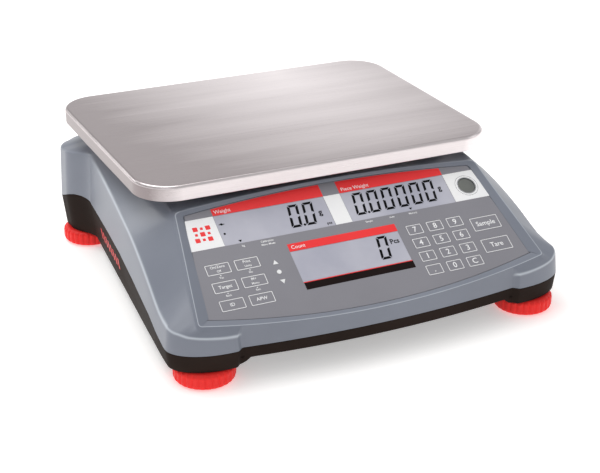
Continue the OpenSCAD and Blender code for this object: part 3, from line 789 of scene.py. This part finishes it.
def upper_shell_net():
    """Control points of the upper housing for every step of its right half: joint line, ridge,
    foot of the rim or edge of the deck, three points across the deck, crest and inner edge of the
    rim, bottom of the recess, the ledge that the overlay rests on, and the underside back to the
    joint. With them come each point's reach of rounding and its share of painted highlight."""
    (u, v), (edge_u, edge_v) = (path.T for path in rim_paths())
    crest = on_panel(u, v, RIM_HEIGHT)
    inner = on_panel(edge_u, edge_v, 0.3)
    recess = on_panel(edge_u, edge_v, RECESS)
    ledge = on_panel(edge_u * 0.955, 44 + (edge_v - 44) * 0.91, RECESS)
    wall_top = inset(np.where(SECTION_OF == FRONT, 0.9, 1.6))
    ridge = np.column_stack([wall_top, ridge_height()])
    joint = np.column_stack([inset(0.0), joint_height() + JOINT_GAP])

    # The rim's foot lies just outside its crest; over the deck it runs along the deck's edge
    foot = crest + np.column_stack([outward(crest) * 1.7, np.full(len(crest), -2.3)])
    deck = [
        np.array([[131.2, -64.0], [129.5, -46.0], [128.5, 60.0], [128.0, WAIST_Y]]),
        np.array([[128.0, WAIST_Y], [127.5, 132.0], [124.0, 142.0], [116.0, 147.0]]),
        np.array([[116.0, 147.0], [0.0, 148.5]]),
    ]
    behind = SECTION_OF >= WAIST
    edge_path = spread(deck, COUNTS[WAIST:])
    deck_edge = np.column_stack([edge_path, deck_height(edge_path[:, 1])])
    on_deck = np.zeros(len(OUTLINE))
    on_deck[behind] = eased((edge_path[:, 1] + 64) / 40)
    mix = on_deck[behind][:, None]
    level_edge = foot[behind][0] + (deck_edge - deck_edge[0]) * [1, 1, 0]
    foot[behind] = level_edge * (1 - mix) + deck_edge * mix

    # Past the rim's corner the foot leaves the rim in one cubic bend, which keeps its direction at
    # both ends, and joins the deck's edge
    start, end = np.flatnonzero(crest[:, 1] > -70)[0], np.flatnonzero(on_deck > 0.95)[0]
    t = np.linspace(0, 1, end - start + 1)[:, None]
    leave = (foot[start] - foot[start - 3]) / 3 * (end - start)
    meet = (foot[end + 3] - foot[end]) / 3 * (end - start)
    bend = foot[start] * (2 * t**3 - 3 * t**2 + 1) + foot[end] * (3 * t**2 - 2 * t**3)
    foot[start : end + 1] = bend + leave * (t**3 - 2 * t**2 + t) + meet * (t**3 - t**2)

    # On the middle of the front the wall itself runs straight up to the crest
    in_notch = eased((OUTLINE[:, 0] - NOTCH_X) / NOTCH_WIDTH)
    notch = np.select([SECTION_OF == FRONT, SECTION_OF == NOTCH], [0.0, in_notch], 1.0)[:, None]
    ridge = (joint + (crest - joint) * 0.6) * (1 - notch) + ridge * notch
    foot = (joint + (crest - joint) * 0.86) * (1 - notch) + foot * notch

    rows = [joint, joint + (ridge - joint) * 0.6, ridge, foot]
    for share in (0.3, 0.6, 0.85):
        across = foot + (crest - foot) * share
        across[:, 2] += (deck_height(across[:, 1]) - across[:, 2]) * on_deck
        rows.append(across)
    # Underside: the same points moved in by the wall where it stands and down where it lies
    outside = UPPER_WALL * np.column_stack([OUTWARD, np.zeros(len(OUTLINE))])
    down = np.array([0, 0, 1.0])
    stand, lie = (1 - notch) * outside, UPPER_WALL * notch * down
    rows += [crest, inner, recess, ledge, ledge - 1.6 * down]
    rows += [crest - stand - 0.6 * down - 1.1 * lie, foot - stand - lie, ridge - outside - lie]
    rows += [joint - outside, joint]
    net = np.stack(rows, 1)
    reach, painted_highlight = np.zeros(net.shape[:2]), np.zeros(net.shape[:2])
    reach[:, 2] = np.where(SECTION_OF <= CORNER, 2.0, 2.6)
    reach[:, 3] = 2.0 + 5.0 * on_deck
    reach[:, 4:7] = 3.0
    reach[:, 7] = np.where(SECTION_OF == FRONT, 1.2, 1.1)
    reach[:, 8:10] = 0.3, 0.2
    # Painted highlight along the ridge, fading towards the back, and along the rim's crest, weaker behind the
    # waist.
    painted_highlight[:, 2] = notch[:, 0] * (1 - 0.85 * eased((OUTLINE[:, 1] - 40) / 60))
    painted_highlight[:, 7] = np.where(behind, 0.35, 0.9)
    return net, reach, painted_highlight


def lower_shell_net():
    """Control points of the lower housing for every step of its right half: a lip inside the joint
    line, the outer wall with the rear pocket's edges, the bottom edge and the inside up to the
    floor. The pocket's depth is set afterwards, because it differs from left to right."""
    x, y = OUTLINE[:, 0], OUTLINE[:, 1]
    top = joint_height() - JOINT_GAP
    bottom = EDGE_Z + 5 * (1 - eased((x - 106) / 7)) * (y < -140)
    lean = 0.12 * (top - bottom) * np.where(SECTION_OF == FRONT, 0.35, 1.0)
    high, low = ((REAR_JOINT_Z - z) / (REAR_JOINT_Z - EDGE_Z) for z in (POCKET_TOP, POCKET_LOW))

    def wall(share):
        return np.column_stack([inset(lean * share), top + (bottom - top) * share])

    inner = inset(lean + LOWER_WALL)
    rows = [np.column_stack([inset(LOWER_WALL), top]), wall(0.0)]
    rows += [wall(s) for s in (high, high, high + 0.16, high + 0.16, low - 0.13, low - 0.13, low, low)]
    rows += [wall(1.0), np.column_stack([inner, bottom])]
    rows += [np.column_stack([inner, np.full(len(x), FLOOR_Z)])]
    return np.stack(rows, 1)


# ------------------------------------------------------------------ the add-on's values


class SCALE_PG_sizes(bpy.types.PropertyGroup):
    """Sizes of the finish details."""

    pan_edge: bpy.props.FloatProperty(
        name="Pan edge radius", description="Radius of the pan's folded edge", default=0.0026, unit="LENGTH"
    )
    grip_depth: bpy.props.FloatProperty(
        name="Grip depth", description="Depth of the grooves round a foot", default=0.001, unit="LENGTH"
    )
    grip_count: bpy.props.IntProperty(
        name="Grips", description="Number of grooves round a foot", default=28
    )
    frame_line: bpy.props.FloatProperty(
        name="Key frame line", description="Width of the line round a key", default=0.00048, unit="LENGTH"
    )
    camera_distance: bpy.props.FloatProperty(
        name="Camera distance", description="From the camera to the scale", default=1.1639, unit="LENGTH"
    )


class SCALE_PG_looks(bpy.types.PropertyGroup):
    """Colours and light."""

    floor_tone: bpy.props.FloatVectorProperty(
        name="Floor", description="Colour of the floor", default=(0.9, 0.885, 0.87), subtype="COLOR", size=3
    )
    key_light: bpy.props.FloatProperty(
        name="Key light", description="Power of the large light overhead", default=7.5, unit="POWER"
    )


def sizes():
    """The scene's sizes."""
    return bpy.context.scene.scale_sizes


def looks():
    """The scene's colours and light."""
    return bpy.context.scene.scale_looks


# ------------------------------------------------------------------ pieces


class SCALE_OT_finishes(bpy.types.Operator):
    """Gives every frame node that stays visible its finished material"""

    bl_idname = "scale.finishes"
    bl_label = "Frame finishes"

    def execute(self, context):
        make_moulded_grain()
        make_brushed_metal()
        for part in frame["record"]["subparts"]:
            mesh = frame["nodes"][part["node"]].data
            mesh.materials.clear()
            mesh.materials.append(finish(part["material_slot"]))
        return {"FINISHED"}


class SCALE_OT_pan(bpy.types.Operator):
    """The stainless pan: a rounded rectangle whose edge folds down into a skirt"""

    bl_idname = "scale.pan"
    bl_label = "Weighing pan"

    def execute(self, context):
        top, low = PAN_HIGH[2], PAN_LOW[2]
        inside = top - PAN_SHEET
        edge = sizes().pan_edge / MM
        outline = [(8, top), (0, top), (0.25, low), (PAN_SHEET, low), (PAN_SHEET, inside), (8, inside)]
        net = np.stack([self.ring(distance, z) for distance, z in outline], 1)
        shell = rounded(net, [0, edge * 1.15, 0.5, 0.5, edge, 0], 6)
        caps = [(ladder(shell[:, column]), False) for column in (0, -1)]
        mesh = mesh_of_grids([(mirrored_loop(shell), True), *caps], 40)
        place("pan_sheet", mesh, "pan", "stainless", ["weighing_pan"])
        return {"FINISHED"}

    def ring(self, distance, z):
        """Right half of the pan's outline moved in by a distance: straight sides and corners of
        PAN_CORNER less the distance."""
        half_w, half_d = (PAN_HIGH[:2] - PAN_LOW[:2]) / 2
        x, y, r = half_w - PAN_CORNER, half_d - PAN_CORNER, PAN_CORNER - distance
        turn = np.linspace(0, np.pi / 2, 26)
        right = [
            pair(np.linspace(0, x, 8)[:-1], distance - half_d),
            pair(x + r * np.sin(turn), -y - r * np.cos(turn)),
            pair(half_w - distance, np.linspace(-y, y, 8)[1:-1]),
            pair(x + r * np.cos(turn), y + r * np.sin(turn)),
            pair(np.linspace(x, 0, 8)[1:], half_d - distance),
        ]
        right = np.concatenate(right) + [0, (PAN_LOW[1] + PAN_HIGH[1]) / 2]
        return points(right[:, 0], right[:, 1], z)


class SCALE_OT_housings(bpy.types.Operator):
    """The grey upper housing and the black lower one, each carried along the scale's outline"""

    bl_idname = "scale.housings"
    bl_label = "Housings"

    def execute(self, context):
        net, reach, painted_highlight = upper_shell_net()
        shell = rounded(net, reach, 5)
        # Painted highlight: each rounded ridge gets its share across six points, strongest on the middle two,
        # mirrored for the left half.
        share = np.array([0.0, 0.25, 1.0, 1.0, 0.25, 0.0])
        crest = np.zeros(shell.shape[:2])
        crest[:, 1:-1] = (painted_highlight[:, 1:-1, None] * share).reshape(len(shell), -1)
        crest = np.concatenate([crest, crest[::-1][1:-1]])
        mesh = mesh_of_grids([(mirrored_loop(shell), True)], 38, crest)
        self.bore(place("upper_shell", mesh, "base", "housing_grey", ["upper_housing"], soften=False))

        reach = [0, 0.5, 0.3, 0.3, 0.2, 0.2, 0.2, 0.2, 0.3, 0.3, 1.0, 1.0, 0]
        shell = rounded(self.pocketed(mirrored_loop(lower_shell_net())), reach, 3)
        half = (len(shell) + 2) // 2
        grids = [(shell, True), (ladder(shell[:half, -1]), False)]
        under, above = FLOOR_Z - 3, FLOOR_Z + 0.2
        rise = turned_profile([STUD_HOLE, BOSS_RADIUS, BOSS_RADIUS], [under, under, above], [0, 0.5, 0], 3)
        boss = np.concatenate([[[STUD_HOLE, above], [STUD_HOLE, under]], rise])
        for name in FEET:
            low, high = box_mm("foot_knob_" + name)
            grids.append((revolved(boss, (low + high) / 2, 48), True))
        mesh = mesh_of_grids(grids, 38)
        place("lower_shell", mesh, "base", "housing_black", ["lower_housing"], soften=False)
        self.side_dashes()
        return {"FINISHED"}

    def pocketed(self, net):
        """Sinks the pocket and, deeper, its two sockets into the rear wall of the lower housing."""
        x = net[:, 5, 0]
        at_back = net[:, 1, 1] > REAR_Y - 0.5
        pocket = at_back & (x > POCKET_LEFT) & (x < POCKET_RIGHT)
        inlet = at_back & (np.abs(x - INLET_X) < INLET_HALF[0])
        port = at_back & (np.abs(x - PORT_X) < PORT_HALF[0])
        back = REAR_Y - POCKET_DEPTH
        for column in (3, 4, 7, 8):
            net[pocket, column, 1] = back
        for column in (5, 6):
            net[pocket, column, 1] = np.where(inlet | port, back - SOCKET_DEPTH, back)[pocket]
        half_height = np.where(inlet, INLET_HALF[1], PORT_HALF[1])
        for column, side in ((4, 1), (5, 1), (6, -1), (7, -1)):
            net[pocket, column, 2] = (SOCKET_Z + side * half_height)[pocket]
        for column, z in ((2, POCKET_TOP), (3, POCKET_TOP), (8, POCKET_LOW), (9, POCKET_LOW)):
            net[pocket, column, 2] = z
        return net

    def bore(self, upper):
        """Opens the deck round the column that carries the pan, where the dust collar sits."""
        low, high = box_mm("dust_collar")
        radius = (high[0] - low[0]) / 2 - 2.9
        profile = np.array([[0, 80.0], [radius, 80.0], [radius, 108.0], [0, 108.0]])
        drill = mesh_of_grids([(revolved(profile, (low + high) / 2), True)])
        tool = bpy.data.objects.new("drill", drill)
        bpy.context.scene.collection.objects.link(tool)
        cut = upper.modifiers.new("bore", "BOOLEAN")
        cut.operation, cut.solver, cut.object = "DIFFERENCE", "EXACT", tool
        seen = upper.evaluated_get(bpy.context.evaluated_depsgraph_get())
        solid = bpy.data.meshes.new_from_object(seen)
        upper.modifiers.clear()
        solid.name = "upper_shell"
        upper.data = solid
        bpy.data.objects.remove(tool)

    def side_dashes(self):
        """Plain red dashes along both black side strips: small patches laid on the leaning wall."""
        grids = []
        across, up = np.linspace(0, 1, 4)[:, None], np.linspace(0, 1, 4)[None, :]
        for side in (1, -1):
            for k in range(8):
                y = 1.0 + 8.6 * k + 3.4 * across + 1.2 * up
                z = 28.0 + 9.0 * up
                x = side_half_width(y) - 0.12 * (48.0 - z) + 0.06
                face = points(side * x, y, z)
                back = face - [side * 0.3, 0, 0]
                rims = [
                    np.concatenate([f[:, 0], f[-1, 1:], f[-2::-1, -1], f[0, -2:0:-1]])
                    for f in (face, back)
                ]
                grids += [(face, False), (back, False), (np.stack(rims, 1), True)]
        mesh = mesh_of_grids(grids)
        place("side_dashes", mesh, "base", "red_print", slot="housing_black", soften=False)


# Keys: name, centre across and up the panel, width and height, and legend lines
LEFT_KEY, DIGIT_KEY, WIDE_KEY = (19.0, 9.3), (13.2, 9.0), (24.5, 12.5)
LEGEND_SIZES = {LEFT_KEY: 2.9, DIGIT_KEY: 5.0, WIDE_KEY: 4.4}
LEFT_U, RIGHT_U, DIGIT_U = -112.5, -89.6, (50.7, 68.5, 86.2)
KEYS = [
    ("on_zero", LEFT_U, 39.4, LEFT_KEY, ("On/Zero", "Off")),
    ("print", RIGHT_U, 39.4, LEFT_KEY, ("Print", "Units")),
    ("target", LEFT_U, 23.8, LEFT_KEY, ("Target",)),
    ("memory", RIGHT_U, 23.8, LEFT_KEY, ("M+", "Menu")),
    ("id", LEFT_U, 8.2, LEFT_KEY, ("ID",)),
    ("unit_weight", RIGHT_U, 8.2, LEFT_KEY, ("APW",)),
    ("sample", 111.1, 33.8, WIDE_KEY, ("Sample",)),
    ("tare", 111.1, 13.2, WIDE_KEY, ("Tare",)),
] + [
    (name, u, v, DIGIT_KEY, (legend,))
    for (name, legend), (u, v) in zip(
        [(c, c) for c in "789456123"] + [("point", "."), ("0", "0"), ("clear", "C")],
        [(u, v) for v in (40.2, 27.7, 15.2, 2.5) for u in DIGIT_U],
    )
]
WINDOWS = {
    "lcd_weight": (-100.4, -9.6, 57.6, 85.0),
    "lcd_piece_weight": (4.7, 95.7, 57.6, 85.0),
    "lcd_count": (-54.3, 36.3, 14.5, 41.9),
}
VIAL_UV, VIAL_HOLE = (111.9, 71.1), 7.6
LIGHT_UV = ((-68.7, 35.6), (-68.7, 27.2), (-68.7, 18.8))
FILM_GAP = 0.12


def key_outline(u, v, size, grow=0.0, round_by=0.5):
    """Outline of a key on the panel, grown or shrunk all round."""
    w, h = size[0] / 2 + grow, size[1] / 2 + grow
    return rectangle(u - w, u + w, v - h, v + h, round_by)


def light_outlines(grow=0.0):
    """Outlines of the three marks: a triangle up, a dot and a triangle down, grown all round."""
    up = np.array([[-2.1, -1.5], [2.1, -1.5], [0, 2.1]]) * (1 + grow / 1.4)
    return [up + LIGHT_UV[0], circle(LIGHT_UV[1], 1.8 + grow, 24), -up + LIGHT_UV[2]]


def place_print(name, parts, look, slot, body="base"):
    """Joins printed parts into one piece and puts it in the scene."""
    return place(name, joined(parts), body, look, slot=slot, soften=False)


class SCALE_OT_overlay(bpy.types.Operator):
    """The control panel's film with its openings, and the bars and plates printed on it"""

    bl_idname = "scale.overlay"
    bl_label = "Control overlay"

    def execute(self, context):
        across = np.linspace(-1, 1, 41)
        outline = [overlay_bottom(across * OVERLAY_LOWER_U), overlay_top(-across * OVERLAY_UPPER_U)]
        holes = [key_outline(u, v, size, FILM_GAP) for _, u, v, size, _ in KEYS]
        holes += [rectangle(*window) for window in WINDOWS.values()]
        holes += [*light_outlines(FILM_GAP), circle(VIAL_UV, VIAL_HOLE)]
        film = flat_mesh([np.concatenate(outline), *holes], (-0.8, 0.0), 0.05)
        place("overlay_film", weld(film), "base", "overlay_grey", ["control_overlay"])
        self.white_print()
        self.red_print()
        # The plain black bar under the count display
        bar = flat_mesh([rectangle(-54.0, 36.8, 7.6, 13.7)])
        place_print("black_print", [bar], "black_print", "overlay_grey")
        return {"FINISHED"}

    def white_print(self):
        """Plates beside the displays, captions and small marks."""
        low, high = 57.7, 85.0
        plates = [
            [np.array([[-122.7, high], [-127.2, low], [-100.6, low], [-100.6, high]])],
            [rectangle(-9.4, 4.5, low, high)],
            [
                np.array([[95.9, high], [95.9, low], [127.2, low], [122.9, high]]),
                circle(VIAL_UV, VIAL_HOLE),
            ],
        ]
        parts = [flat_mesh(loops) for loops in plates]
        on_bar = (0.05, 0.12)
        for words, u, v in (("Weight", -98.6, 88.2), ("Piece Weight", 7.0, 88.2), ("Count", -52.0, 45.4)):
            parts.append(text_mesh(words, u, v, 3.3, on_bar, "LEFT", 0.0))
        for words, u, v, size in (
            ("Yes", LEFT_U, 31.7, 1.7),
            ("No", RIGHT_U, 31.7, 1.7),
            ("Back", LEFT_U, 16.1, 1.7),
            ("Exit", RIGHT_U, 16.1, 1.7),
            ("kg", -86.9, 55.0, 1.8),
            ("Calibration", -67.7, 55.2, 1.7),
            ("Menu Mode", -67.7, 52.4, 1.7),
            ("Sample", 17.6, 55.2, 1.6),
            ("Auto", 37.5, 55.2, 1.6),
            ("Memory", 55.9, 55.2, 1.6),
        ):
            parts.append(text_mesh(words, u, v, size))
        tick = np.array([[-0.7, 0.0], [0.7, 0.0], [0.0, -0.9]])
        parts += [flat_mesh([tick + [u, v]]) for v in (33.9, 18.3) for u in (LEFT_U, RIGHT_U)]
        place_print("white_print", parts, "white_print", "overlay_grey")

    def red_print(self):
        """Bars over the displays, the thin line under the count, and a generic emblem of squares."""
        bars = [rectangle(-54.2, 36.4, 42.0, 48.8), rectangle(-54.2, 36.6, 13.7, 14.4)]
        for u0, u1 in ((-100.2, -9.2), (5.0, 96.0)):
            upper = overlay_top(np.linspace(u1, u0, 16)) - [0, 0.5]
            bars.append(np.concatenate([[[u0, 85.2], [u1, 85.2]], upper]))
        parts = [flat_mesh([bar]) for bar in bars]
        for row in range(3):
            for column in range(3):
                u, v = -117.6 + 5.0 * column - 0.55 * (2 - row), 66.2 + 5.0 * row
                grow = 1.9 if (row + column) % 2 == 0 else 1.1
                square = rectangle(u - grow, u + grow, v - grow, v + grow, 0.4)
                parts.append(flat_mesh([square], SECOND_INK))
        place_print("red_print", parts, "red_print", "overlay_grey")


class SCALE_OT_keys(bpy.types.Operator):
    """Twenty film keys, each with a printed frame and a legend"""

    bl_idname = "scale.keys"
    bl_label = "Keys"

    def execute(self, context):
        line = sizes().frame_line / MM
        for name, u, v, size, legend in KEYS:
            body = "key_" + name
            film = flat_mesh([key_outline(u, v, size)], (-3.4, 0.0), 0.06)
            place(body + "_film", weld(film), body, "key_film", [body])
            edge = key_outline(u, v, size, -0.15, 0.7)
            parts = [flat_mesh([edge, key_outline(u, v, size, -0.15 - line, 0.4)])]
            if len(legend) == 2:
                parts.append(text_mesh(legend[0], u, v + 1.9, 2.3))
                parts.append(text_mesh(legend[1], u, v - 1.9, 1.9))
            else:
                parts.append(text_mesh(legend[0], u, v, LEGEND_SIZES[size]))
            place_print(body + "_print", parts, "white_print", "key_film", body)
        return {"FINISHED"}


DIGIT_WIDTH, DIGIT_HEIGHT, DIGIT_STROKE, DIGIT_SLANT, DIGIT_GAP = 8.8, 20.6, 2.1, 0.16, 0.26


def digit_zero(u, v):
    """The six bars of a seven-bar zero, leaning to the right: u grows by the slant times height."""
    w, h, s, gap = DIGIT_WIDTH / 2, DIGIT_HEIGHT / 2, DIGIT_STROKE, DIGIT_GAP
    tip = w - gap - 0.3
    bars = []
    for side in (-1, 1):
        low, high = side * (h - s), side * h
        bars.append([(-tip, high), (tip, high), (w - s, low), (s - w, low)])
        near, far = side * w, side * (w - s)
        for end in (-1, 1):
            start, stop = [(near, end * gap * 2), (far, end * (gap * 2 + s * 0.5))], end * (h - gap)
            bars.append([*start, (far, stop - end * s), (near, stop - end * 0.5)])
    corners = np.array(bars)
    corners[..., 0] += DIGIT_SLANT * corners[..., 1]
    return corners + [u, v]


class SCALE_OT_displays(bpy.types.Operator):
    """Three liquid crystal displays with their dark bars, units and marks"""

    bl_idname = "scale.displays"
    bl_label = "Displays"

    def execute(self, context):
        gap = 0.02
        for name, (u0, u1, v0, v1) in WINDOWS.items():
            plate = flat_mesh([rectangle(u0 + gap, u1 - gap, v0 + gap, v1 - gap)], (-4.2, -0.12))
            place(name + "_glass", weld(plate), "base", "lcd_glass", [name], soften=False)
        zeros = [(-38.4, 72.4), (-26.2, 72.4), (19.2, 29.9)]
        zeros += [(16.6 + 12.45 * k, 72.7) for k in range(6)]
        shapes = [bar for u, v in zeros for bar in digit_zero(u, v)]
        shapes += [circle((u, v), 1.05, 16) for u, v in ((-33.4, 63.2), (21.4, 63.6))]
        triangle = np.array([[-1.4, 0.9], [0.0, -1.1], [1.4, 0.9]])
        shapes += [triangle + [u, 59.6] for u in (-87.5, 55.9)]
        shapes += [circle((-96.9, 68.1), 0.9, 16), circle((-96.4, 76.8), 1.0, 12)]
        shapes.append(rectangle(-98.6, -94.2, 76.4, 77.1))
        ink = [flat_mesh([shape], LCD_INK) for shape in shapes]
        for words, u, v, size in (
            ("g", -17.3, 71.6, 5.2),
            ("pcs", -13.8, 60.6, 2.4),
            ("g", 88.0, 73.4, 5.2),
            ("Pcs", 30.0, 33.6, 4.4),
        ):
            ink.append(text_mesh(words, u, v, size, LCD_INK, bold=0.03))
        place_print("lcd_ink", ink, "lcd_ink", "lcd_glass")
        return {"FINISHED"}


def turned_on_panel(profile):
    """Grid of a profile of (radius, w) points turned about the vial's axis on the panel."""
    net = revolved(profile, VIAL_UV)
    return on_panel(net[..., 0], net[..., 1], net[..., 2]), True


class SCALE_OT_lights_and_level(bpy.types.Operator):
    """Check-weighing marks and the bull's-eye level in its white plate"""

    bl_idname = "scale.lights_and_level"
    bl_label = "Marks and level"

    def execute(self, context):
        parts = [flat_mesh([shape], (-1.2, 0.1), 0.04) for shape in light_outlines()]
        parts += [flat_mesh([circle(uv, 2.0, 24)], (-4.2, -1.0)) for uv in LIGHT_UV]
        place("check_lights_lens", joined(parts), "base", "light_guide", ["check_lights"])

        ring = turned_profile([7.2, 7.2, 8.0, 8.1], [-0.6, 0.3, 0.3, 0.0], [0, 0.15, 0.25, 0], 3)
        line = np.array([[9.4, -0.05], [9.4, 0.09], [9.75, 0.09], [9.75, -0.05]])
        grids = [turned_on_panel(np.concatenate([loop, loop[:1]])) for loop in (ring, line)]
        place("level_ring", mesh_of_grids(grids), "base", "connector_steel", slot="vial_holder")

        low, high = box_mm("level_vial")
        centre, top, radius = (low + high) / 2, high[2], (high[0] - low[0]) / 2
        heights = [low[2], low[2], top - 0.6, top]
        body = turned_profile([0, radius, radius, 0], heights, [0, 0.4, 1.2, 0], 5)
        window = turned_profile([0, 7.15, 7.15, 0], [-3.4, -3.4, -0.35, -0.15], [0, 0.3, 0.6, 0], 4)
        grids = [(revolved(body, centre, 48), True), turned_on_panel(window)]
        place("level_glass", mesh_of_grids(grids, 50), "base", "vial_glass", ["level_vial"])

        inner, outer, under, above = 3.1, 3.4, top - 0.1, top + 0.05
        mark = pair([inner, outer, outer, inner, inner], [under, under, above, above, under])
        mesh = mesh_of_grids([(revolved(mark, centre, 40), True)])
        place("level_mark", mesh, "base", "black_print", slot="vial_glass", soften=False)

        turn = np.linspace(0, np.pi / 2, 6)
        dome = pair(2.3 * np.cos(turn), top - 0.05 + 0.35 * np.sin(turn))
        dome[-1, 0] = 0
        dome = np.concatenate([[[0, under], [2.3, under]], dome])
        mesh = mesh_of_grids([(revolved(dome, centre + [0.6, -0.9, 0], 32), True)], 60)
        place("level_bubble", mesh, "base", "light_guide", slot="vial_glass")
        return {"FINISHED"}


class SCALE_OT_feet(bpy.types.Operator):
    """Four red levelling feet: wheels with rounded grooves and a threaded stud"""

    bl_idname = "scale.feet"
    bl_label = "Levelling feet"

    def execute(self, context):
        bore, bore_top, hollow, hollow_top, stud, top = 3.1, 9.0, 18.3, 3.3, 5.0, 12.6
        for name in FEET:
            node = "foot_knob_" + name
            low, high = box_mm(node)
            centre, edge, base = (low + high) / 2, (high[0] - low[0]) / 2, low[2]
            profile = turned_profile(
                [bore, bore, hollow, hollow, edge - 1.2, edge, edge, edge - 3.2, stud + 0.4, stud, stud, 0],
                [bore_top, hollow_top, hollow_top, base, base, base + 2.2, top - 2.0, top, top, top + 0.5]
                + [high[2], high[2]],
                [0, 0.3, 0.4, 0.3, 1.0, 1.2, 1.4, 1.2, 0.4, 0.4, 0.6, 0],
                4,
            )
            wheel = revolved(profile, centre, 360, self.grooves(edge))
            roof = revolved(np.array([[0.0, bore_top], [bore, bore_top]]), centre, 360)
            mesh = mesh_of_grids([(wheel, True), (roof, True)], 50)
            place(node + "_wheel", mesh, "knob_" + name, "red_plastic", [node], soften=False)
        return {"FINISHED"}

    def grooves(self, edge):
        """Share of the radius: 1 minus a row of rounded dips, full near the edge and nil inside."""
        depth, count = sizes().grip_depth / MM, sizes().grip_count

        def share(angle, radius):
            near_edge = eased((radius - (edge - 2.2)) / 1.8)
            return 1 - near_edge * depth / edge * np.abs(np.sin(angle * count / 2)) ** 6

        return share


class SCALE_OT_stage(bpy.types.Operator):
    """Pale floor, soft studio light and the camera"""

    bl_idname = "scale.stage"
    bl_label = "Stage"

    def execute(self, context):
        scene = context.scene
        scene.view_settings.view_transform = "Standard"
        self.floor(scene)
        self.world(scene)
        for name, at, size, power in (
            ("overhead", (-0.3, 0.45, 1.5), 1.2, 1.95),
            ("front_fill", (-0.9, -1.4, 0.9), 0.9, 0.16),
            ("right_fill", (1.4, -0.5, 0.7), 0.7, 0.16),
            ("edge_strip", (-0.9, 1.2, 0.7), 0.3, 0.3),
        ):
            lamp = bpy.data.lights.new(name, "AREA")
            lamp.size, lamp.energy = size, looks().key_light * power
            light = bpy.data.objects.new(name, lamp)
            scene.collection.objects.link(light)
            light.location, light.rotation_mode = at, "QUATERNION"
            light.rotation_quaternion = (Vector((0, 0, 0.05)) - Vector(at)).to_track_quat("-Z", "Y")
        self.camera(scene)
        return {"FINISHED"}

    def floor(self, scene):
        """A flat square of pale, faintly glowing floor."""
        mesh = bpy.data.meshes.new("floor")
        corners = rectangle(-6.0, 6.0, -6.0, 6.0)
        mesh.from_pydata(points(corners[:, 0], corners[:, 1]), [], [(3, 0, 1, 2)])
        floor = bpy.data.objects.new("floor", mesh)
        scene.collection.objects.link(floor)
        tones = [(*looks().floor_tone, 1.0)] * 2
        glow = {"Emission Strength": 0.4}
        mesh.materials.append(plastic("pale_floor", tones, (0.75, 0.85), 0.02, shader=glow))

    def world(self, scene):
        """White to the camera. For light and reflections it is dimmer, with a glow behind right."""
        world = scene.world = bpy.data.worlds.new("studio")
        world.use_nodes = True
        tree = world.node_tree
        background = tree.nodes["Background"]
        way = add(tree, "ShaderNodeTexCoord").outputs["Generated"]
        toward = {0: way, 1: (0.46, 0.86, 0.24)}
        glow = add(tree, "ShaderNodeVectorMath", toward, operation="DOT_PRODUCT").outputs["Value"]
        level = ranged(tree, glow, 0.8, 1.0, 0.52, 1.15, interpolation_type="SMOOTHSTEP")
        seen = add(tree, "ShaderNodeLightPath").outputs["Is Camera Ray"]
        strength = add(tree, "ShaderNodeMix", {0: seen, 2: level, 3: 1.0}).outputs[0]
        background.inputs["Color"].default_value = (1, 1, 1, 1)
        tree.links.new(strength, background.inputs["Strength"])

    def camera(self, scene):
        """Camera in front and to the left, looking down; the picture is 600 wide."""
        azimuth, elevation, roll = (math.radians(a) for a in (-25.35, 24.49, 0.24))
        level = math.cos(elevation)
        back = Vector((math.sin(azimuth) * level, -math.cos(azimuth) * level, math.sin(elevation)))
        right = Vector((math.cos(azimuth), math.sin(azimuth), 0))
        up = back.cross(right)
        cos, sin = math.cos(roll), math.sin(roll)
        right, up = right * cos + up * sin, up * cos - right * sin
        target = Vector((0, 4.5, 50)) + right * 6.02 - up * 21.39
        eye = target * MM + back * sizes().camera_distance
        data = bpy.data.cameras.new("camera")
        data.sensor_width = 36.0
        data.lens = 36.0 * 1410 / 600
        data.clip_start, data.clip_end = 0.05, 50
        camera = bpy.data.objects.new("camera", data)
        scene.collection.objects.link(camera)
        camera.matrix_world = Matrix(
            [(right[k], up[k], back[k], eye[k]) for k in range(3)] + [(0, 0, 0, 1)]
        )
        scene.camera = camera


STEPS = (
    SCALE_OT_finishes,
    SCALE_OT_pan,
    SCALE_OT_housings,
    SCALE_OT_overlay,
    SCALE_OT_keys,
    SCALE_OT_displays,
    SCALE_OT_lights_and_level,
    SCALE_OT_feet,
    SCALE_OT_stage,
)


class SCALE_PT_panel(bpy.types.Panel):
    """Lists the values and the pieces of the scale"""

    bl_idname = "SCALE_PT_panel"
    bl_label = "Counting Scale"
    bl_space_type = "VIEW_3D"
    bl_region_type = "UI"
    bl_category = "Scale"

    def draw(self, context):
        for values in (context.scene.scale_sizes, context.scene.scale_looks):
            for key in values.bl_rna.properties.keys():
                if key not in {"rna_type", "name"}:
                    self.layout.prop(values, key)
        for step in STEPS:
            self.layout.operator(step.bl_idname)


CLASSES = (SCALE_PG_sizes, SCALE_PG_looks, *STEPS, SCALE_PT_panel)


def register():
    """Registers the classes and gives the scene its values."""
    for cls in CLASSES:
        bpy.utils.register_class(cls)
    bpy.types.Scene.scale_sizes = bpy.props.PointerProperty(type=SCALE_PG_sizes)
    bpy.types.Scene.scale_looks = bpy.props.PointerProperty(type=SCALE_PG_looks)


def unregister():
    """Takes the values and the classes away again."""
    del bpy.types.Scene.scale_looks
    del bpy.types.Scene.scale_sizes
    for cls in reversed(CLASSES):
        bpy.utils.unregister_class(cls)


def main():
    """Builds every piece in order."""
    register()
    for step in STEPS:
        getattr(bpy.ops.scale, step.bl_idname.split(".")[1])()
    bpy.context.view_layer.update()


if __name__ == "__main__":
    main()
